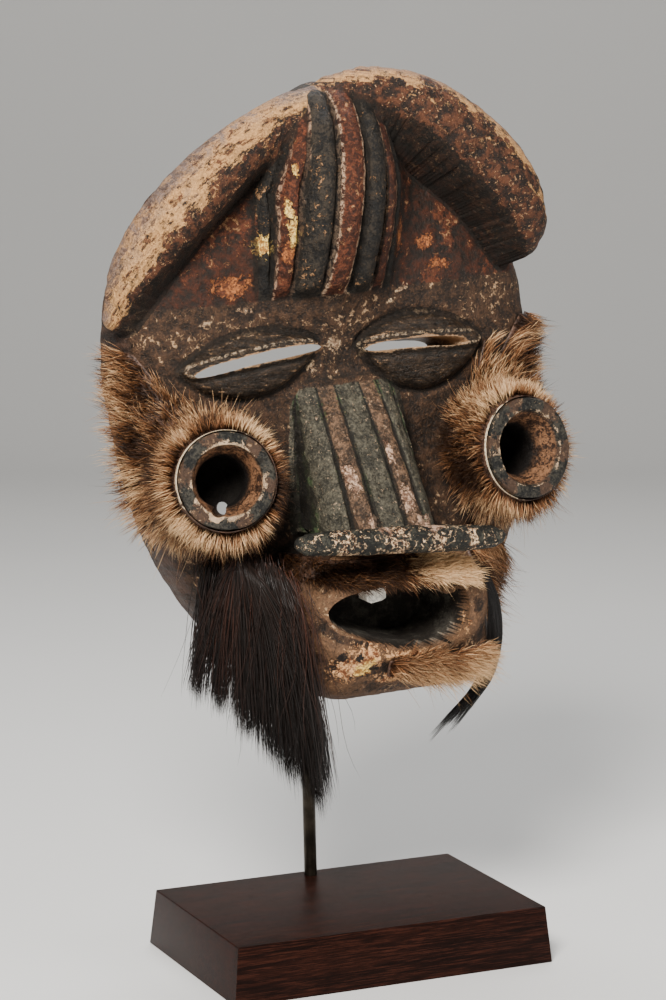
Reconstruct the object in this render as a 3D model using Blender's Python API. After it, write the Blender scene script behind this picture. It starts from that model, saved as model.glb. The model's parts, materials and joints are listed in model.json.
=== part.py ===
"""Carved wooden face mask with tubular cheeks, hide trim and hair, on its display stand.

Metres, +Z up. The mask looks along -Y. The origin is the centre of the base's underside.
The carving is written in carver's parts, of which the egg of the mask is 269 high, in the
mask's own frame: x to the right as one faces it, y backwards, z up, from between the eyes.
"""

from math import cos, pi, radians, sin

import bmesh
import bpy
import numpy as np
from mathutils import Matrix, Vector

# Driving dimensions, in metres.
EGG_HEIGHT = 0.272
WALL = 0.011
MASK_TILT = radians(-3.8)
FACE_HEIGHT = 0.300
FACE_SET = 0.008
TUBE_DIAMETERS = {"left": 0.0455, "right": 0.0485}
TUBE_MOUTH_DIAMETERS = {"left": 0.0335, "right": 0.0370}
TUBE_BORE_DIAMETER = 0.0240
TUBE_BORE_DEPTH = 0.036
TUBE_LENGTH = 0.042
FUNNEL_DEPTH = 0.016
CHEEK_HOLE_DIAMETER = 0.0075
LACING_HOLE_DIAMETER = 0.0045
LACING_HOLE_INSET = 0.0090
BASE_WIDTH = 0.160
BASE_DEPTH = 0.1045
BASE_HEIGHT = 0.0273
BASE_FLARE = 0.0027
BASE_EDGE = 0.0006
ROD_DIAMETER = 0.00635
ROD_SETBACK = 0.0068
ROD_LEAN = radians(-1.4)
ROD_BEND_RADIUS = 0.014
ROD_SOCKET_DEPTH = 0.014
STAY_DIAMETER = 0.0048
HIDE_THICKNESS = 0.0030
HIDE_LIFT = 0.0006
HAIR_LIFT = 0.0022
GAP = 0.0003

# Fineness of the carving's grid, and how many of its triangles are kept.
COLUMNS = 130
ROWS = 160
HOLLOW_COLUMNS = 20
HOLLOW_ROWS = 24
KEPT_TRIANGLES = 2700

# The egg that the mask was hewn from: its outline seen from the front, and its depth.
EGG_MIDDLE = -20
EGG_UP = 121
EGG_DOWN = 148
EGG_HALF_WIDTH = 104
EGG_TAPER = 0.075
EGG_SWELL = 6
EGG_SWAY = -0.04
EGG_UPPER_POWER = 2.05
EGG_LOWER_POWER = 2.75
EGG_BACK = 50
EGG_DEPTH = 48
EGG_FRONT_POWER = 4.2

PART = EGG_HEIGHT / (EGG_UP + EGG_DOWN)
THICK = WALL / PART


def clear_scene():
    for thing in list(bpy.data.objects):
        bpy.data.objects.remove(thing)


def smooth_step(value, low, high):
    share = np.clip((value - low) / (high - low), 0, 1)
    return share * share * (3 - 2 * share)


def smooth_union(first, second, blend):
    share = np.clip(0.5 + 0.5 * (second - first) / blend, 0, 1)
    return second + (first - second) * share - blend * share * (1 - share)


def egg_share(x, z):
    """0 on the middle of the face, 1 on the egg's outline."""
    half = EGG_HALF_WIDTH + EGG_TAPER * (z - EGG_MIDDLE) + EGG_SWELL * smooth_step(x, 0, 60)
    tall = np.where(z > EGG_MIDDLE, EGG_UP, EGG_DOWN)
    power = np.where(z > EGG_MIDDLE, EGG_UPPER_POWER, EGG_LOWER_POWER)
    sway = EGG_SWAY * np.minimum(z - EGG_MIDDLE, 0)
    wide = np.abs((x - sway) / half) ** power
    return (wide + np.abs((z - EGG_MIDDLE) / tall) ** power) ** (1 / power)


def egg(x, y, z):
    power = EGG_FRONT_POWER
    wide = egg_share(x, z) ** power
    deep = np.maximum(0, (EGG_BACK - y) / EGG_DEPTH) ** power
    level = (wide + deep) ** (1 / power) - 1
    front = deep / (wide + deep + 1e-9)
    return level * (front * EGG_DEPTH + (1 - front) * EGG_HALF_WIDTH)


def rounded_block(x, y, z, centre, halves, rounding):
    q = [np.abs(v - c) - (h - rounding) for v, c, h in zip((x, y, z), centre, halves)]
    outside = np.sqrt(sum(np.maximum(v, 0) ** 2 for v in q))
    return outside + np.minimum(np.maximum(np.maximum(q[0], q[1]), q[2]), 0) - rounding


def through(points, count):
    """Points read from a smooth curve through the given ones."""
    points = np.array(points, float)
    ends = [2 * points[0] - points[1]], [2 * points[-1] - points[-2]]
    path = np.concatenate([ends[0], points, ends[1]])
    at = np.linspace(0, len(points) - 1 - 1e-9, count)
    i = at.astype(int)
    t = (at - i)[:, None]
    p0, p1, p2, p3 = (path[i + k] for k in range(4))
    return 0.5 * (
        2 * p1 + (p2 - p0) * t + (2 * p0 - 5 * p1 + 4 * p2 - p3) * t**2
        + (3 * p1 - p0 - 3 * p2 + p3) * t**3
    )


def chain(x, y, z, beads):
    """Distance to a rounded bar through beads (x, y, z, radius)."""
    nearest = np.full(np.shape(x), 1e9)
    for a, b in zip(beads, beads[1:]):
        step = b[:3] - a[:3]
        along = ((x - a[0]) * step[0] + (y - a[1]) * step[1] + (z - a[2]) * step[2]) / (step @ step)
        along = np.clip(along, 0, 1)
        gap = [v - p - along * d for v, p, d in zip((x, y, z), a[:3], step)]
        away = np.sqrt(gap[0] ** 2 + gap[1] ** 2 + gap[2] ** 2)
        nearest = np.minimum(nearest, away - (a[3] + along * (b[3] - a[3])))
    return nearest


# The two swollen rolls that run from the crown down to the temples.
ROLL_LEFT = through([
    (-1, 8, 108, 8), (-18, 5, 103, 11.5), (-44, 3, 90, 13.5), (-66, 4, 73, 15),
    (-84, 8, 55, 14.5), (-96, 14, 37, 12), (-103, 21, 18, 7),
], 22)
ROLL_RIGHT = through([
    (5, 7, 112, 9), (22, 3, 112, 12), (44, 0, 103, 16), (66, -2, 86, 18),
    (85, -2, 66, 17.5), (95, 0, 48, 14.5), (97, 4, 38, 11),
], 22)

NOSE_TOP = -19
NOSE_FOOT = -89
NOSE_TOP_HALF = 27
NOSE_FOOT_HALF = 32
NOSE_ROOT = 12
NOSE_REACH = 48
NOSE_GROOVES = (-0.93, -0.57, -0.24, 0.21, 0.55, 0.84)


def nose_down(z):
    return np.clip((NOSE_TOP - z) / (NOSE_TOP - NOSE_FOOT), 0, 1)


def nose_half(z):
    return NOSE_TOP_HALF + (NOSE_FOOT_HALF - NOSE_TOP_HALF) * nose_down(z) ** 0.7


def nose(x, y, z):
    reach = NOSE_ROOT - 2 + NOSE_REACH * nose_down(z) ** 0.85
    power = 2.9
    across = np.abs((x - 0.02 * (NOSE_TOP - z)) / nose_half(z)) ** power
    across = (across + np.abs((y - NOSE_ROOT) / reach) ** power) ** (1 / power)
    return np.maximum((across - 1) * 28, np.maximum(z - NOSE_TOP, NOSE_FOOT - z))


MUZZLE = ((8, 4, -135), (50, 42, 34), 24)
# The middle of the forehead swells out along a bar (x, y, z, radius) from the brow to the crown.
FOREHEAD = through([
    (-6, 34, 20, 33), (-5, 25, 34, 33), (-3, 17, 52, 36), (0, 15, 70, 37), (2, 16, 84, 32),
    (3, 20, 96, 22),
], 12)


def face(x, y, z):
    """The mask's broad forms but for the muzzle."""
    form = smooth_union(egg(x, y, z), chain(x, y, z, FOREHEAD), 16)
    return smooth_union(form, nose(x, y, z), 6)


def head(x, y, z):
    return smooth_union(face(x, y, z), rounded_block(x, y, z, *MUZZLE), 18)


# Vertical ribs of the forehead: x at the crown, the middle and the brow, width and height.
RIBS = [
    (-21, -37, -38, 5, 2.0),
    (-16, -28.5, -31, 9, 3.4),
    (-9.5, -15.5, -19.5, 13, 5.0),
    (4, -0.5, -6.5, 13, 4.4),
    (16, 13, 8, 11, 5.0),
    (21, 23, 18.5, 8, 3.4),
    (25, 29.5, 24.5, 5, 2.0),
]
RIB_HEIGHTS = (26, 70, 107)


def rib_centre(rib, z):
    return np.interp(z, RIB_HEIGHTS, rib[2::-1])


def ribs(x, z):
    raised = np.zeros(np.shape(x))
    for rib in RIBS:
        away = np.abs(x - rib_centre(rib, z)) / (rib[3] / 2)
        raised = np.maximum(raised, rib[4] * np.sqrt(np.maximum(0, 1 - away**2)))
    return raised * smooth_step(z, 20, 27) * smooth_step(-z, -122, -112)


# Eyes: outer and inner corner (x, z), height above and below the line between, how proud.
EYES = {
    "left": ((-83, -9), (-12, -1), 12, 20, 8),
    "right": ((8, -3), (75, -9), 13, 24, 8),
}
# Slits: their ends (x, z) in front and behind, and the height of the cut in front and behind.
SLITS = {
    "left": (((-78, -8.5), (-16, -1.5)), ((-72, -12), (-3, -5)), 5.0, 8.0),
    "right": (((9, -5), (72, -7.5)), ((12, -9), (50, -10)), 4.8, 7.0),
}


def lens_place(x, z, ends):
    """Along a lens from -1 to 1, and the height above the line between its corners."""
    (x0, z0), (x1, z1) = ends
    half = np.hypot(x1 - x0, z1 - z0) / 2
    dx, dz = (x1 - x0) / (2 * half), (z1 - z0) / (2 * half)
    px, pz = x - (x0 + x1) / 2, z - (z0 + z1) / 2
    return (px * dx + pz * dz) / half, pz * dx - px * dz


def eye_mound(x, z, eye):
    along, above = lens_place(x, z, eye[:2])
    width = np.maximum(1 - along**2, 1e-3)
    edge = np.where(above > 0, eye[2], eye[3]) * width**0.8
    return eye[4] * width**0.4 * np.sqrt(np.maximum(0, 1 - (above / edge) ** 2))


def eye_groove(x, z, eye):
    """The line cut round each eye that parts the lids from the brow and the cheek."""
    along, above = lens_place(x, z, eye[:2])
    width = np.maximum(1 - along**2, 1e-3)
    edge = np.where(above > 0, eye[2], eye[3]) * width**0.8
    away = (np.abs(above) - edge) / 2.2
    return 1.5 * np.exp(-(away**2)) * (np.abs(along) < 1)


def nose_grooves(x, z):
    share = (x - 0.02 * (NOSE_TOP - z)) / nose_half(z)
    cut = np.zeros(np.shape(x))
    for groove in NOSE_GROOVES:
        cut = np.maximum(cut, np.exp(-(((share - groove) / 0.045) ** 2)))
    return cut * smooth_step(z, NOSE_FOOT - 3, NOSE_FOOT + 3) * smooth_step(-z, 24, 34)


# The open mouth, seen from the front, and the edge that stands up round it.
MOUTH = [
    (-31, -121), (-24, -116), (-10, -114), (10, -114), (26, -115), (35, -119), (39, -127),
    (37, -136), (30, -142), (20, -145), (8, -144), (-6, -140), (-22, -133), (-30, -127),
]
LIP = ((4, -128), 36, 15)
# The mouth is hollowed to a floor that is smaller than its opening: the middle (x, z), y, share.
MOUTH_FLOOR = (6, -129)
MOUTH_FLOOR_BACK = -6
MOUTH_FLOOR_SHARE = 0.72


def lips(x, z):
    (cx, cz), half, tall = LIP
    away = np.sqrt(((x - cx) / half) ** 2 + ((z - cz) / tall) ** 2)
    return 3.0 * np.exp(-(((away - 1.22) / 0.22) ** 2))


def relief(x, z):
    """How far the finer carving stands proud of the broad forms."""
    raised = ribs(x, z)
    for eye in EYES.values():
        raised = np.maximum(raised, eye_mound(x, z, eye)) - eye_groove(x, z, eye)
    return raised - 1.4 * nose_grooves(x, z) + lips(x, z)


def carving(x, y, z):
    """Below zero inside the wood, above zero outside it."""
    form = head(x, y, z) - relief(x, z) * smooth_step(-y, -14, 2)
    form = smooth_union(form, chain(x, y, z, ROLL_LEFT), 3)
    return smooth_union(form, chain(x, y, z, ROLL_RIGHT), 3)


def hollow(x, y, z):
    """Below zero where the back of the mask is hollowed out, which the muzzle isn't."""
    return face(x, y, z) + THICK


RIM_BACK = 45
RIM_CHIN = 28
RIM_CROWN = 36
CORNER_START = 0.66
SIDE_START = 0.88
CORNER_DEPTH = 24
CORNER_INSET = 28


def rim_back(z):
    """Where the rear edge lies: it comes forward under the chin and at the crown."""
    back = RIM_CHIN + (RIM_BACK - RIM_CHIN) * smooth_step(z, -172, -70)
    return back - (RIM_BACK - RIM_CROWN) * smooth_step(z, 40, 110)


def outline(angle):
    """How far the egg's outline lies from its middle, seen from the front."""
    reach = np.full(np.shape(angle), 100.0)
    for _ in range(14):
        share = egg_share(reach * np.sin(angle), EGG_MIDDLE + reach * np.cos(angle))
        reach = reach / share
    return reach


def rays(angle, share):
    """Starts and directions of the rays that meet the wood: share 0 is mid-face, 1 the rim.

    They run forwards over the face, fan out round its edge and run sideways along the flank.
    """
    last = rim_back(EGG_MIDDLE + outline(angle) * np.cos(angle))
    inner = outline(angle) - CORNER_INSET
    reach = inner * np.minimum(share / CORNER_START, 1)
    first = np.minimum(CORNER_DEPTH, last - 14)
    y = first + (last - first) * np.clip((share - SIDE_START) / (1 - SIDE_START), 0, 1)
    lean = pi / 2 * np.clip((share - CORNER_START) / (SIDE_START - CORNER_START), 0, 1)
    start = (reach * np.sin(angle), y, EGG_MIDDLE + reach * np.cos(angle))
    return start, (np.sin(lean) * np.sin(angle), -np.cos(lean), np.sin(lean) * np.cos(angle))


def meet(form, start, direction, far=86, near=-12, steps=50, outward=False):
    """The last point of the form on each ray from inside it, or the first if outward."""
    found = np.full(np.shape(start[0]), float(near))
    done = np.zeros(np.shape(start[0]), bool)
    stride = (far - near) / steps
    for step in range(steps):
        reach = near + (step + 1) * stride if outward else far - step * stride
        inside = form(*[s + reach * d for s, d in zip(start, direction)]) < 0
        stop = ~inside if outward else inside
        found = np.where(stop & ~done, reach, found)
        done |= stop
    low, high = (found - stride, found) if outward else (found, found + stride)
    for _ in range(14):
        middle = (low + high) / 2
        inside = form(*[s + middle * d for s, d in zip(start, direction)]) < 0
        low, high = np.where(inside, middle, low), np.where(inside, high, middle)
    reach = (low + high) / 2
    return np.stack([s + reach * d for s, d in zip(start, direction)], -1)


def face_rays(columns, rows):
    """Rays on a square net that is stretched over the face, its edge on the rim."""
    u, v = np.meshgrid(np.linspace(-1, 1, columns + 1), np.linspace(-1, 1, rows + 1))
    across, up = u * np.sqrt(1 - v**2 / 2), v * np.sqrt(1 - u**2 / 2)
    return rays(np.arctan2(across, up), np.hypot(across, up))


def skin(form, columns, rows):
    return meet(form, *face_rays(columns, rows))


def net_faces(shape, offset=0, flip=False):
    """Quads between the points of a net of the given shape."""
    rows, columns = shape[:2]
    number = offset + np.arange(rows * columns).reshape(rows, columns)
    corners = (number[:-1, :-1], number[:-1, 1:], number[1:, 1:], number[1:, :-1])
    faces = np.stack([c.ravel() for c in corners], -1)
    return [tuple(int(i) for i in (face[::-1] if flip else face)) for face in faces]


def net_edge(shape, offset=0):
    """The points round the edge of a net, in order."""
    rows, columns = shape[:2]
    number = offset + np.arange(rows * columns).reshape(rows, columns)
    edge = [number[0, :-1], number[:-1, -1], number[-1, :0:-1], number[:0:-1, 0]]
    return [int(i) for i in np.concatenate(edge)]


def mask_frame():
    return Matrix.Translation((0, FACE_SET, FACE_HEIGHT)) @ Matrix.Rotation(MASK_TILT, 4, "Y")


def material(name, colour, roughness, metallic=0.0):
    made = bpy.data.materials.new(name)
    made.use_nodes = True
    shader = made.node_tree.nodes["Principled BSDF"]
    shader.inputs["Base Color"].default_value = (*colour, 1)
    shader.inputs["Roughness"].default_value = roughness
    shader.inputs["Metallic"].default_value = metallic
    return made


def solid(name, points, faces, unit=1.0):
    """A closed body whose faces all point outwards."""
    mesh = bpy.data.meshes.new(name)
    mesh.from_pydata([tuple(float(c) * unit for c in p) for p in points], [], faces)
    shape = bmesh.new()
    shape.from_mesh(mesh)
    bmesh.ops.triangulate(shape, faces=shape.faces)
    bmesh.ops.recalc_face_normals(shape, faces=shape.faces)
    if shape.calc_volume(signed=True) < 0:
        bmesh.ops.reverse_faces(shape, faces=shape.faces)
    shape.to_mesh(mesh)
    shape.free()
    thing = bpy.data.objects.new(name, mesh)
    bpy.context.scene.collection.objects.link(thing)
    return thing


def keep_modifiers(thing):
    """Bakes the object's modifiers into its mesh."""
    bpy.context.view_layer.update()
    evaluated = thing.evaluated_get(bpy.context.evaluated_depsgraph_get())
    mesh = bpy.data.meshes.new_from_object(evaluated)
    thing.modifiers.clear()
    thing.data = mesh


def thin_out(thing, triangles):
    """Keeps about so many triangles where the form needs them most."""
    decimate = thing.modifiers.new("thin_out", "DECIMATE")
    decimate.ratio = min(1, triangles / len(thing.data.polygons))
    keep_modifiers(thing)


def combine(thing, other, operation):
    boolean = thing.modifiers.new(other.name, "BOOLEAN")
    boolean.operation = operation
    boolean.object = other
    keep_modifiers(thing)
    bpy.data.objects.remove(other)


def capped_skin(name, form, columns, rows, behind=None):
    """The form's front as a closed body, its rim first carried back by so much if asked."""
    points = skin(form, columns, rows)
    edge = net_edge(points.shape)
    flat = list(points.reshape(-1, 3))
    faces = net_faces(points.shape)
    if behind:
        ring = [len(flat) + i for i in range(len(edge))]
        flat += [flat[i] + np.array((0, behind, 0)) for i in edge]
        for i in range(len(edge)):
            faces.append((edge[i - 1], edge[i], ring[i], ring[i - 1]))
        edge = ring
    flat.append(np.mean([flat[i] for i in edge], axis=0))
    faces += [(edge[i - 1], edge[i], len(flat) - 1) for i in range(len(edge))]
    return solid(name, flat, faces, PART)


# Cheek tubes: the middle of the rim (x, y, z), and how far the axis turns out and up.
TUBES = {
    "left": ((-75, -31, -55), radians(-10), radians(10)),
    "right": ((80, -31, -59), radians(11), radians(8)),
}
# The split that opens the foot of the left tube's mouth to the hollow: offset (x, z) from the
# middle of the rim, and the way it runs.
CHEEK_HOLE = ((-0.5, -16.2), (0.41, 0.90, -0.155))


def tube_frame(side):
    """Along the tube: +Z comes out of its mouth, and the origin is the middle of its rim."""
    place, turn, rise = TUBES[side]
    out = Vector((sin(turn) * cos(rise), -cos(turn) * cos(rise), sin(rise)))
    return Matrix.Translation(Vector(place) * PART) @ out.to_track_quat("Z", "Y").to_matrix().to_4x4()


def turned(name, profile, sides, frame):
    """A turned body from its profile of (radius, height), closed on its axis."""
    shape = bmesh.new()
    rings = []
    for radius, height in profile:
        ring = [
            shape.verts.new((radius * cos(2 * pi * i / sides), radius * sin(2 * pi * i / sides), height))
            for i in range(sides)
        ]
        rings.append(ring)
    for a, b in zip(rings, rings[1:]):
        for i in range(sides):
            j = (i + 1) % sides
            shape.faces.new((a[i], a[j], b[j], b[i]))
    shape.faces.new(rings[0][::-1])
    shape.faces.new(rings[-1])
    bmesh.ops.recalc_face_normals(shape, faces=shape.faces)
    shape.transform(frame)
    mesh = bpy.data.meshes.new(name)
    shape.to_mesh(mesh)
    shape.free()
    thing = bpy.data.objects.new(name, mesh)
    bpy.context.scene.collection.objects.link(thing)
    return thing


def prism(name, front_outline, front, back_outline, back):
    """A body between two outlines (x, z) of as many points, at y front and y back."""
    count = len(front_outline)
    points = [(x, front, z) for x, z in front_outline] + [(x, back, z) for x, z in back_outline]
    faces = [tuple(range(count)), tuple(range(2 * count - 1, count - 1, -1))]
    faces += [(i, (i + 1) % count, count + (i + 1) % count, count + i) for i in range(count)]
    return solid(name, points, faces, PART)


# How far each slit bows upwards, in parts.
SLIT_ARCH = 1.2


def slit_outline(ends, tall, steps=9):
    (x0, z0), (x1, z1) = ends
    along = np.linspace(-1, 1, steps)
    half = tall / 2 * (1 - along**4) ** 0.5
    x = (x0 + x1) / 2 + along * (x1 - x0) / 2
    z = (z0 + z1) / 2 + along * (z1 - z0) / 2 + SLIT_ARCH * (1 - along**2)
    return [*zip(x, z + half), *zip(x[-2:0:-1], z[-2:0:-1] - half[-2:0:-1])]


# The bar across the foot of the nose, and the teeth (x, z, half width, half height).
BAR = through([
    (-47, -46, -86, 3.8), (-43, -47, -86.3, 5.2), (-20, -49.5, -88, 6), (10, -50, -90.5, 6.2),
    (34, -49, -93.5, 5.8), (48, -47, -95, 5.2), (52, -46.5, -95.5, 3.8),
], 13)
TEETH = [(-7.5, -116, 3.6, 4.6), (31.5, -117.5, 3.6, 4.4)]
TOOTH_FRONT, TOOTH_BACK = -35, -26


def rounded_bar(name, beads, sides, unit, flat=False):
    """A bar through beads (x, y, z, radius), with blunt or flat closed ends."""
    beads = np.asarray(beads, float)
    way = np.gradient(beads[:, :3], axis=0)
    way /= np.linalg.norm(way, axis=1)[:, None]
    side = np.cross(way, (0.97, 0.21, 0.13) if abs(way[0, 2]) > 0.5 else (0.13, 0.21, 0.97))
    side /= np.linalg.norm(side, axis=1)[:, None]
    other = np.cross(way, side)
    turn = np.arange(sides) * 2 * pi / sides
    points = np.concatenate([
        bead[:3] + bead[3] * (np.outer(np.cos(turn), s) + np.outer(np.sin(turn), o))
        for bead, s, o in zip(beads, side, other)
    ])
    faces = []
    for ring in range(len(beads) - 1):
        a = ring * sides
        for i in range(sides):
            j = (i + 1) % sides
            faces.append((a + i, a + j, a + sides + j, a + sides + i))
    last = len(points) - sides
    if flat:
        faces += [tuple(range(sides))[::-1], tuple(range(last, last + sides))]
    else:
        blunt = 0.6 * beads[[0, -1], 3:]
        ends = beads[[0, -1], :3] + way[[0, -1]] * blunt * ((-1,), (1,))
        points = np.concatenate([points, ends])
        for i in range(sides):
            j = (i + 1) % sides
            faces += [(last + sides, j, i), (last + sides + 1, last + i, last + j)]
    return solid(name, points, faces, unit)


# Lacing holes along the rear edge: heights, on either side.
LACING_HEIGHTS = (-72, -93)


def drill_lacing_holes(thing):
    inset, radius = LACING_HOLE_INSET / PART, LACING_HOLE_DIAMETER / 2
    for side in (-1, 1):
        for height in LACING_HEIGHTS:
            x = side * (EGG_HALF_WIDTH + EGG_TAPER * (height - EGG_MIDDLE)) * 0.9
            place = Vector((x, rim_back(height) - inset, height)) * PART
            frame = Matrix.Translation(place) @ Matrix.Rotation(side * pi / 2, 4, "Y")
            reach = 2.5 * WALL
            drill = turned("lacing", [(radius, -reach), (radius, reach)], 12, frame)
            combine(thing, drill, "DIFFERENCE")


def cut_tubes(thing):
    for side in TUBES:
        mouth, bore, frame = TUBE_MOUTH_DIAMETERS[side] / 2, TUBE_BORE_DIAMETER / 2, tube_frame(side)
        profile = [(bore * 0.6, -TUBE_BORE_DEPTH), (bore, -TUBE_BORE_DEPTH + bore * 0.5)]
        profile += [(bore, -FUNNEL_DEPTH), (mouth, 0), (mouth, 10 * GAP)]
        combine(thing, turned(side, profile, 24, frame), "DIFFERENCE")
    (dx, dz), way = CHEEK_HOLE
    x, y, z = TUBES["left"][0]
    frame = Matrix.Translation(Vector((x + dx, y, z + dz)) * PART)
    frame @= Vector(way).to_track_quat("Z", "Y").to_matrix().to_4x4()
    radius = CHEEK_HOLE_DIAMETER / 2
    drill = turned("split", [(radius, -3 * radius), (radius, 1.6 * TUBE_LENGTH)], 10, frame)
    combine(thing, drill, "DIFFERENCE")


def make_mask():
    thing = capped_skin("mask", carving, COLUMNS, ROWS)
    thin_out(thing, KEPT_TRIANGLES)
    for side in TUBES:
        radius, frame = TUBE_DIAMETERS[side] / 2, tube_frame(side)
        tube = turned(side, [(radius, -TUBE_LENGTH), (radius, 0)], 28, frame)
        combine(thing, tube, "UNION")
    combine(thing, rounded_bar("bar", BAR, 8, PART), "UNION")
    scoop = capped_skin("scoop", hollow, HOLLOW_COLUMNS, HOLLOW_ROWS, THICK)
    combine(thing, scoop, "DIFFERENCE")
    for side in TUBES:
        floor = TUBE_BORE_DEPTH + 0.5 * WALL
        radius, frame = TUBE_BORE_DIAMETER / 2 + 0.5 * WALL, tube_frame(side)
        combine(thing, turned("floor", [(radius, -floor), (radius, -FUNNEL_DEPTH)], 20, frame), "UNION")
    cut_tubes(thing)
    for front, back, tall, tall_back in SLITS.values():
        cutter = prism("slit", slit_outline(front, tall), -12, slit_outline(back, tall_back), 18)
        combine(thing, cutter, "DIFFERENCE")
    (cx, cz), shrink = MOUTH_FLOOR, MOUTH_FLOOR_SHARE
    floor = [(cx + (x - cx) * shrink, cz + (z - cz) * shrink) for x, z in MOUTH]
    wide = [(x + (x - cx) * 0.2, z + (z - cz) * 0.2) for x, z in MOUTH]
    combine(thing, prism("mouth", wide, -56, floor, MOUTH_FLOOR_BACK), "DIFFERENCE")
    for x, z, half, tall in TEETH:
        corners = [(x - half, z - tall), (x + half, z - tall), (x + half, z + tall), (x - half, z + tall)]
        combine(thing, prism("tooth", corners, TOOTH_FRONT, corners, TOOTH_BACK), "UNION")
    drill_lacing_holes(thing)
    return finish(thing, "dark_carved_wood", (0.045, 0.027, 0.018), 0.62)


def finish(thing, name, colour, roughness, metallic=0.0):
    thing.data.materials.clear()
    thing.data.materials.append(material(name, colour, roughness, metallic))
    thing.data.shade_smooth()
    thing.data.set_sharp_from_angle(angle=radians(40))
    return thing


def tube_form(side, x, y, z):
    """Distance to a cheek tube, in the mask's frame."""
    frame = tube_frame(side)
    middle, out = np.array(frame.translation) / PART, np.array(frame.col[2][:3])
    gap = [v - m for v, m in zip((x, y, z), middle)]
    along = sum(g * o for g, o in zip(gap, out))
    away = np.sqrt(np.maximum(0, sum(g * g for g in gap) - along**2))
    radial, ends = away - TUBE_DIAMETERS[side] / 2 / PART, np.maximum(along, -along - 60)
    outside = np.hypot(np.maximum(radial, 0), np.maximum(ends, 0))
    return outside + np.minimum(np.maximum(radial, ends), 0)


# Hides round the cheek tubes: points (x, y, z) on each hide's outer edge, all the way round.
HIDE_ROOT = 51
COLLAR_SET_BACK = 5
HIDE_EDGES = {
    "left": [
        (-45, 0, -56), (-49, 0, -42), (-59, 0, -32), (-75, 0, -23), (-88, 3, -13), (-98, 6, 2),
        (-106, 14, 15), (-110, 26, 14), (-108, 32, -5), (-106, 33, -30), (-101, 32, -58),
        (-94, 27, -78), (-80, 6, -85), (-62, 0, -86), (-50, 0, -80), (-46, 0, -68),
    ],
    "right": [
        (113, 32, -45), (114, 32, -18), (112, 27, -2), (108, 14, 10), (102, 5, 17), (92, -2, 22),
        (81, 0, 20), (84, 0, 5), (85, 0, -12), (80, 0, -27), (67, 0, -36), (56, 0, -44),
        (52, 0, -57), (55, 0, -68), (65, 0, -78), (76, 0, -86), (90, 6, -91), (104, 24, -82),
    ],
}


def hide_root(side):
    """Where the rays of a cheek hide start, on the tube's axis, and their own three ways."""
    frame = tube_frame(side)
    out = np.array(frame.col[2][:3])
    root = np.array(frame.translation) / PART - HIDE_ROOT * out
    right = np.cross((0, 0, 1.0), -out)
    right /= np.linalg.norm(right)
    return root, right, np.cross(-out, right) * -1, out


def hide_rays(side, angle, share):
    """Rays through a cheek hide: share 0 at its collar round the tube, 1 at its outer edge."""
    root, right, up, out = hide_root(side)
    edge = np.array(HIDE_EDGES[side], float) - root
    turns = np.arctan2(edge @ up, edge @ right) % (2 * pi)
    leans = np.arctan2(np.hypot(edge @ up, edge @ right), edge @ out)
    order = np.argsort(turns)
    last = np.interp(angle % (2 * pi), turns[order], leans[order], period=2 * pi)
    first = np.arctan2(TUBE_DIAMETERS[side] / 2 / PART, HIDE_ROOT - COLLAR_SET_BACK)
    lean = first + (last - first) * share
    across = [np.cos(angle) * r + np.sin(angle) * u for r, u in zip(right, up)]
    way = [np.cos(lean) * o + np.sin(lean) * a for o, a in zip(out, across)]
    return [np.full(np.shape(angle), r) for r in root], way


def hide_form(side, x, y, z):
    return smooth_union(carving(x, y, z), tube_form(side, x, y, z), 6)


def closed_slab(name, inner, outer):
    """A closed body between two nets of points."""
    shape = inner.shape
    points = [*inner.reshape(-1, 3), *outer.reshape(-1, 3)]
    count = len(points) // 2
    faces = net_faces(shape) + net_faces(shape, count, True)
    edge = net_edge(shape)
    faces += [(edge[i - 1], edge[i], count + edge[i], count + edge[i - 1]) for i in range(len(edge))]
    return solid(name, points, faces, PART)


def ring_slab(name, inner, outer):
    """A closed body between two nets of points that both close on themselves sideways."""
    rows, columns = inner.shape[:2]
    points = [*inner.reshape(-1, 3), *outer.reshape(-1, 3)]
    count = rows * columns
    faces = []
    for j in range(columns):
        k = (j + 1) % columns
        for i in range(rows - 1):
            a, b = i * columns, (i + 1) * columns
            faces.append((a + j, a + k, b + k, b + j))
            faces.append((count + b + j, count + b + k, count + a + k, count + a + j))
        for row, flip in ((0, False), (rows - 1, True)):
            a = row * columns
            face = (a + j, a + k, count + a + k, count + a + j)
            faces.append(face if flip else face[::-1])
    return solid(name, points, faces, PART)


def settled(net, way, mask, wrap=False):
    """A net of points moved out along its rays until its faces all clear the mask."""
    clear, way = GAP / PART, np.stack(way, -1)
    for _ in range(12):
        lift = np.zeros(net.shape[:2])
        columns = net.shape[1] if wrap else net.shape[1] - 1
        for i in range(net.shape[0] - 1):
            for j in range(columns):
                corners = [(i, j), (i + 1, j), (i + 1, (j + 1) % net.shape[1]), (i, (j + 1) % net.shape[1])]
                held = np.array([net[corner] for corner in corners])
                probes = [*held, *(held + np.roll(held, 1, 0)) / 2, held.mean(0)]
                short = 0.0
                for probe in probes:
                    _, near, normal, _ = mask.closest_point_on_mesh(Vector(probe) * PART)
                    away = (Vector(probe) - near / PART).dot(normal)
                    short = max(short, clear - away)
                for corner in corners:
                    lift[corner] = max(lift[corner], short)
        if lift.max() < 0.02 * clear:
            break
        net = net + 1.1 * lift[..., None] * way
    return net


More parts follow.
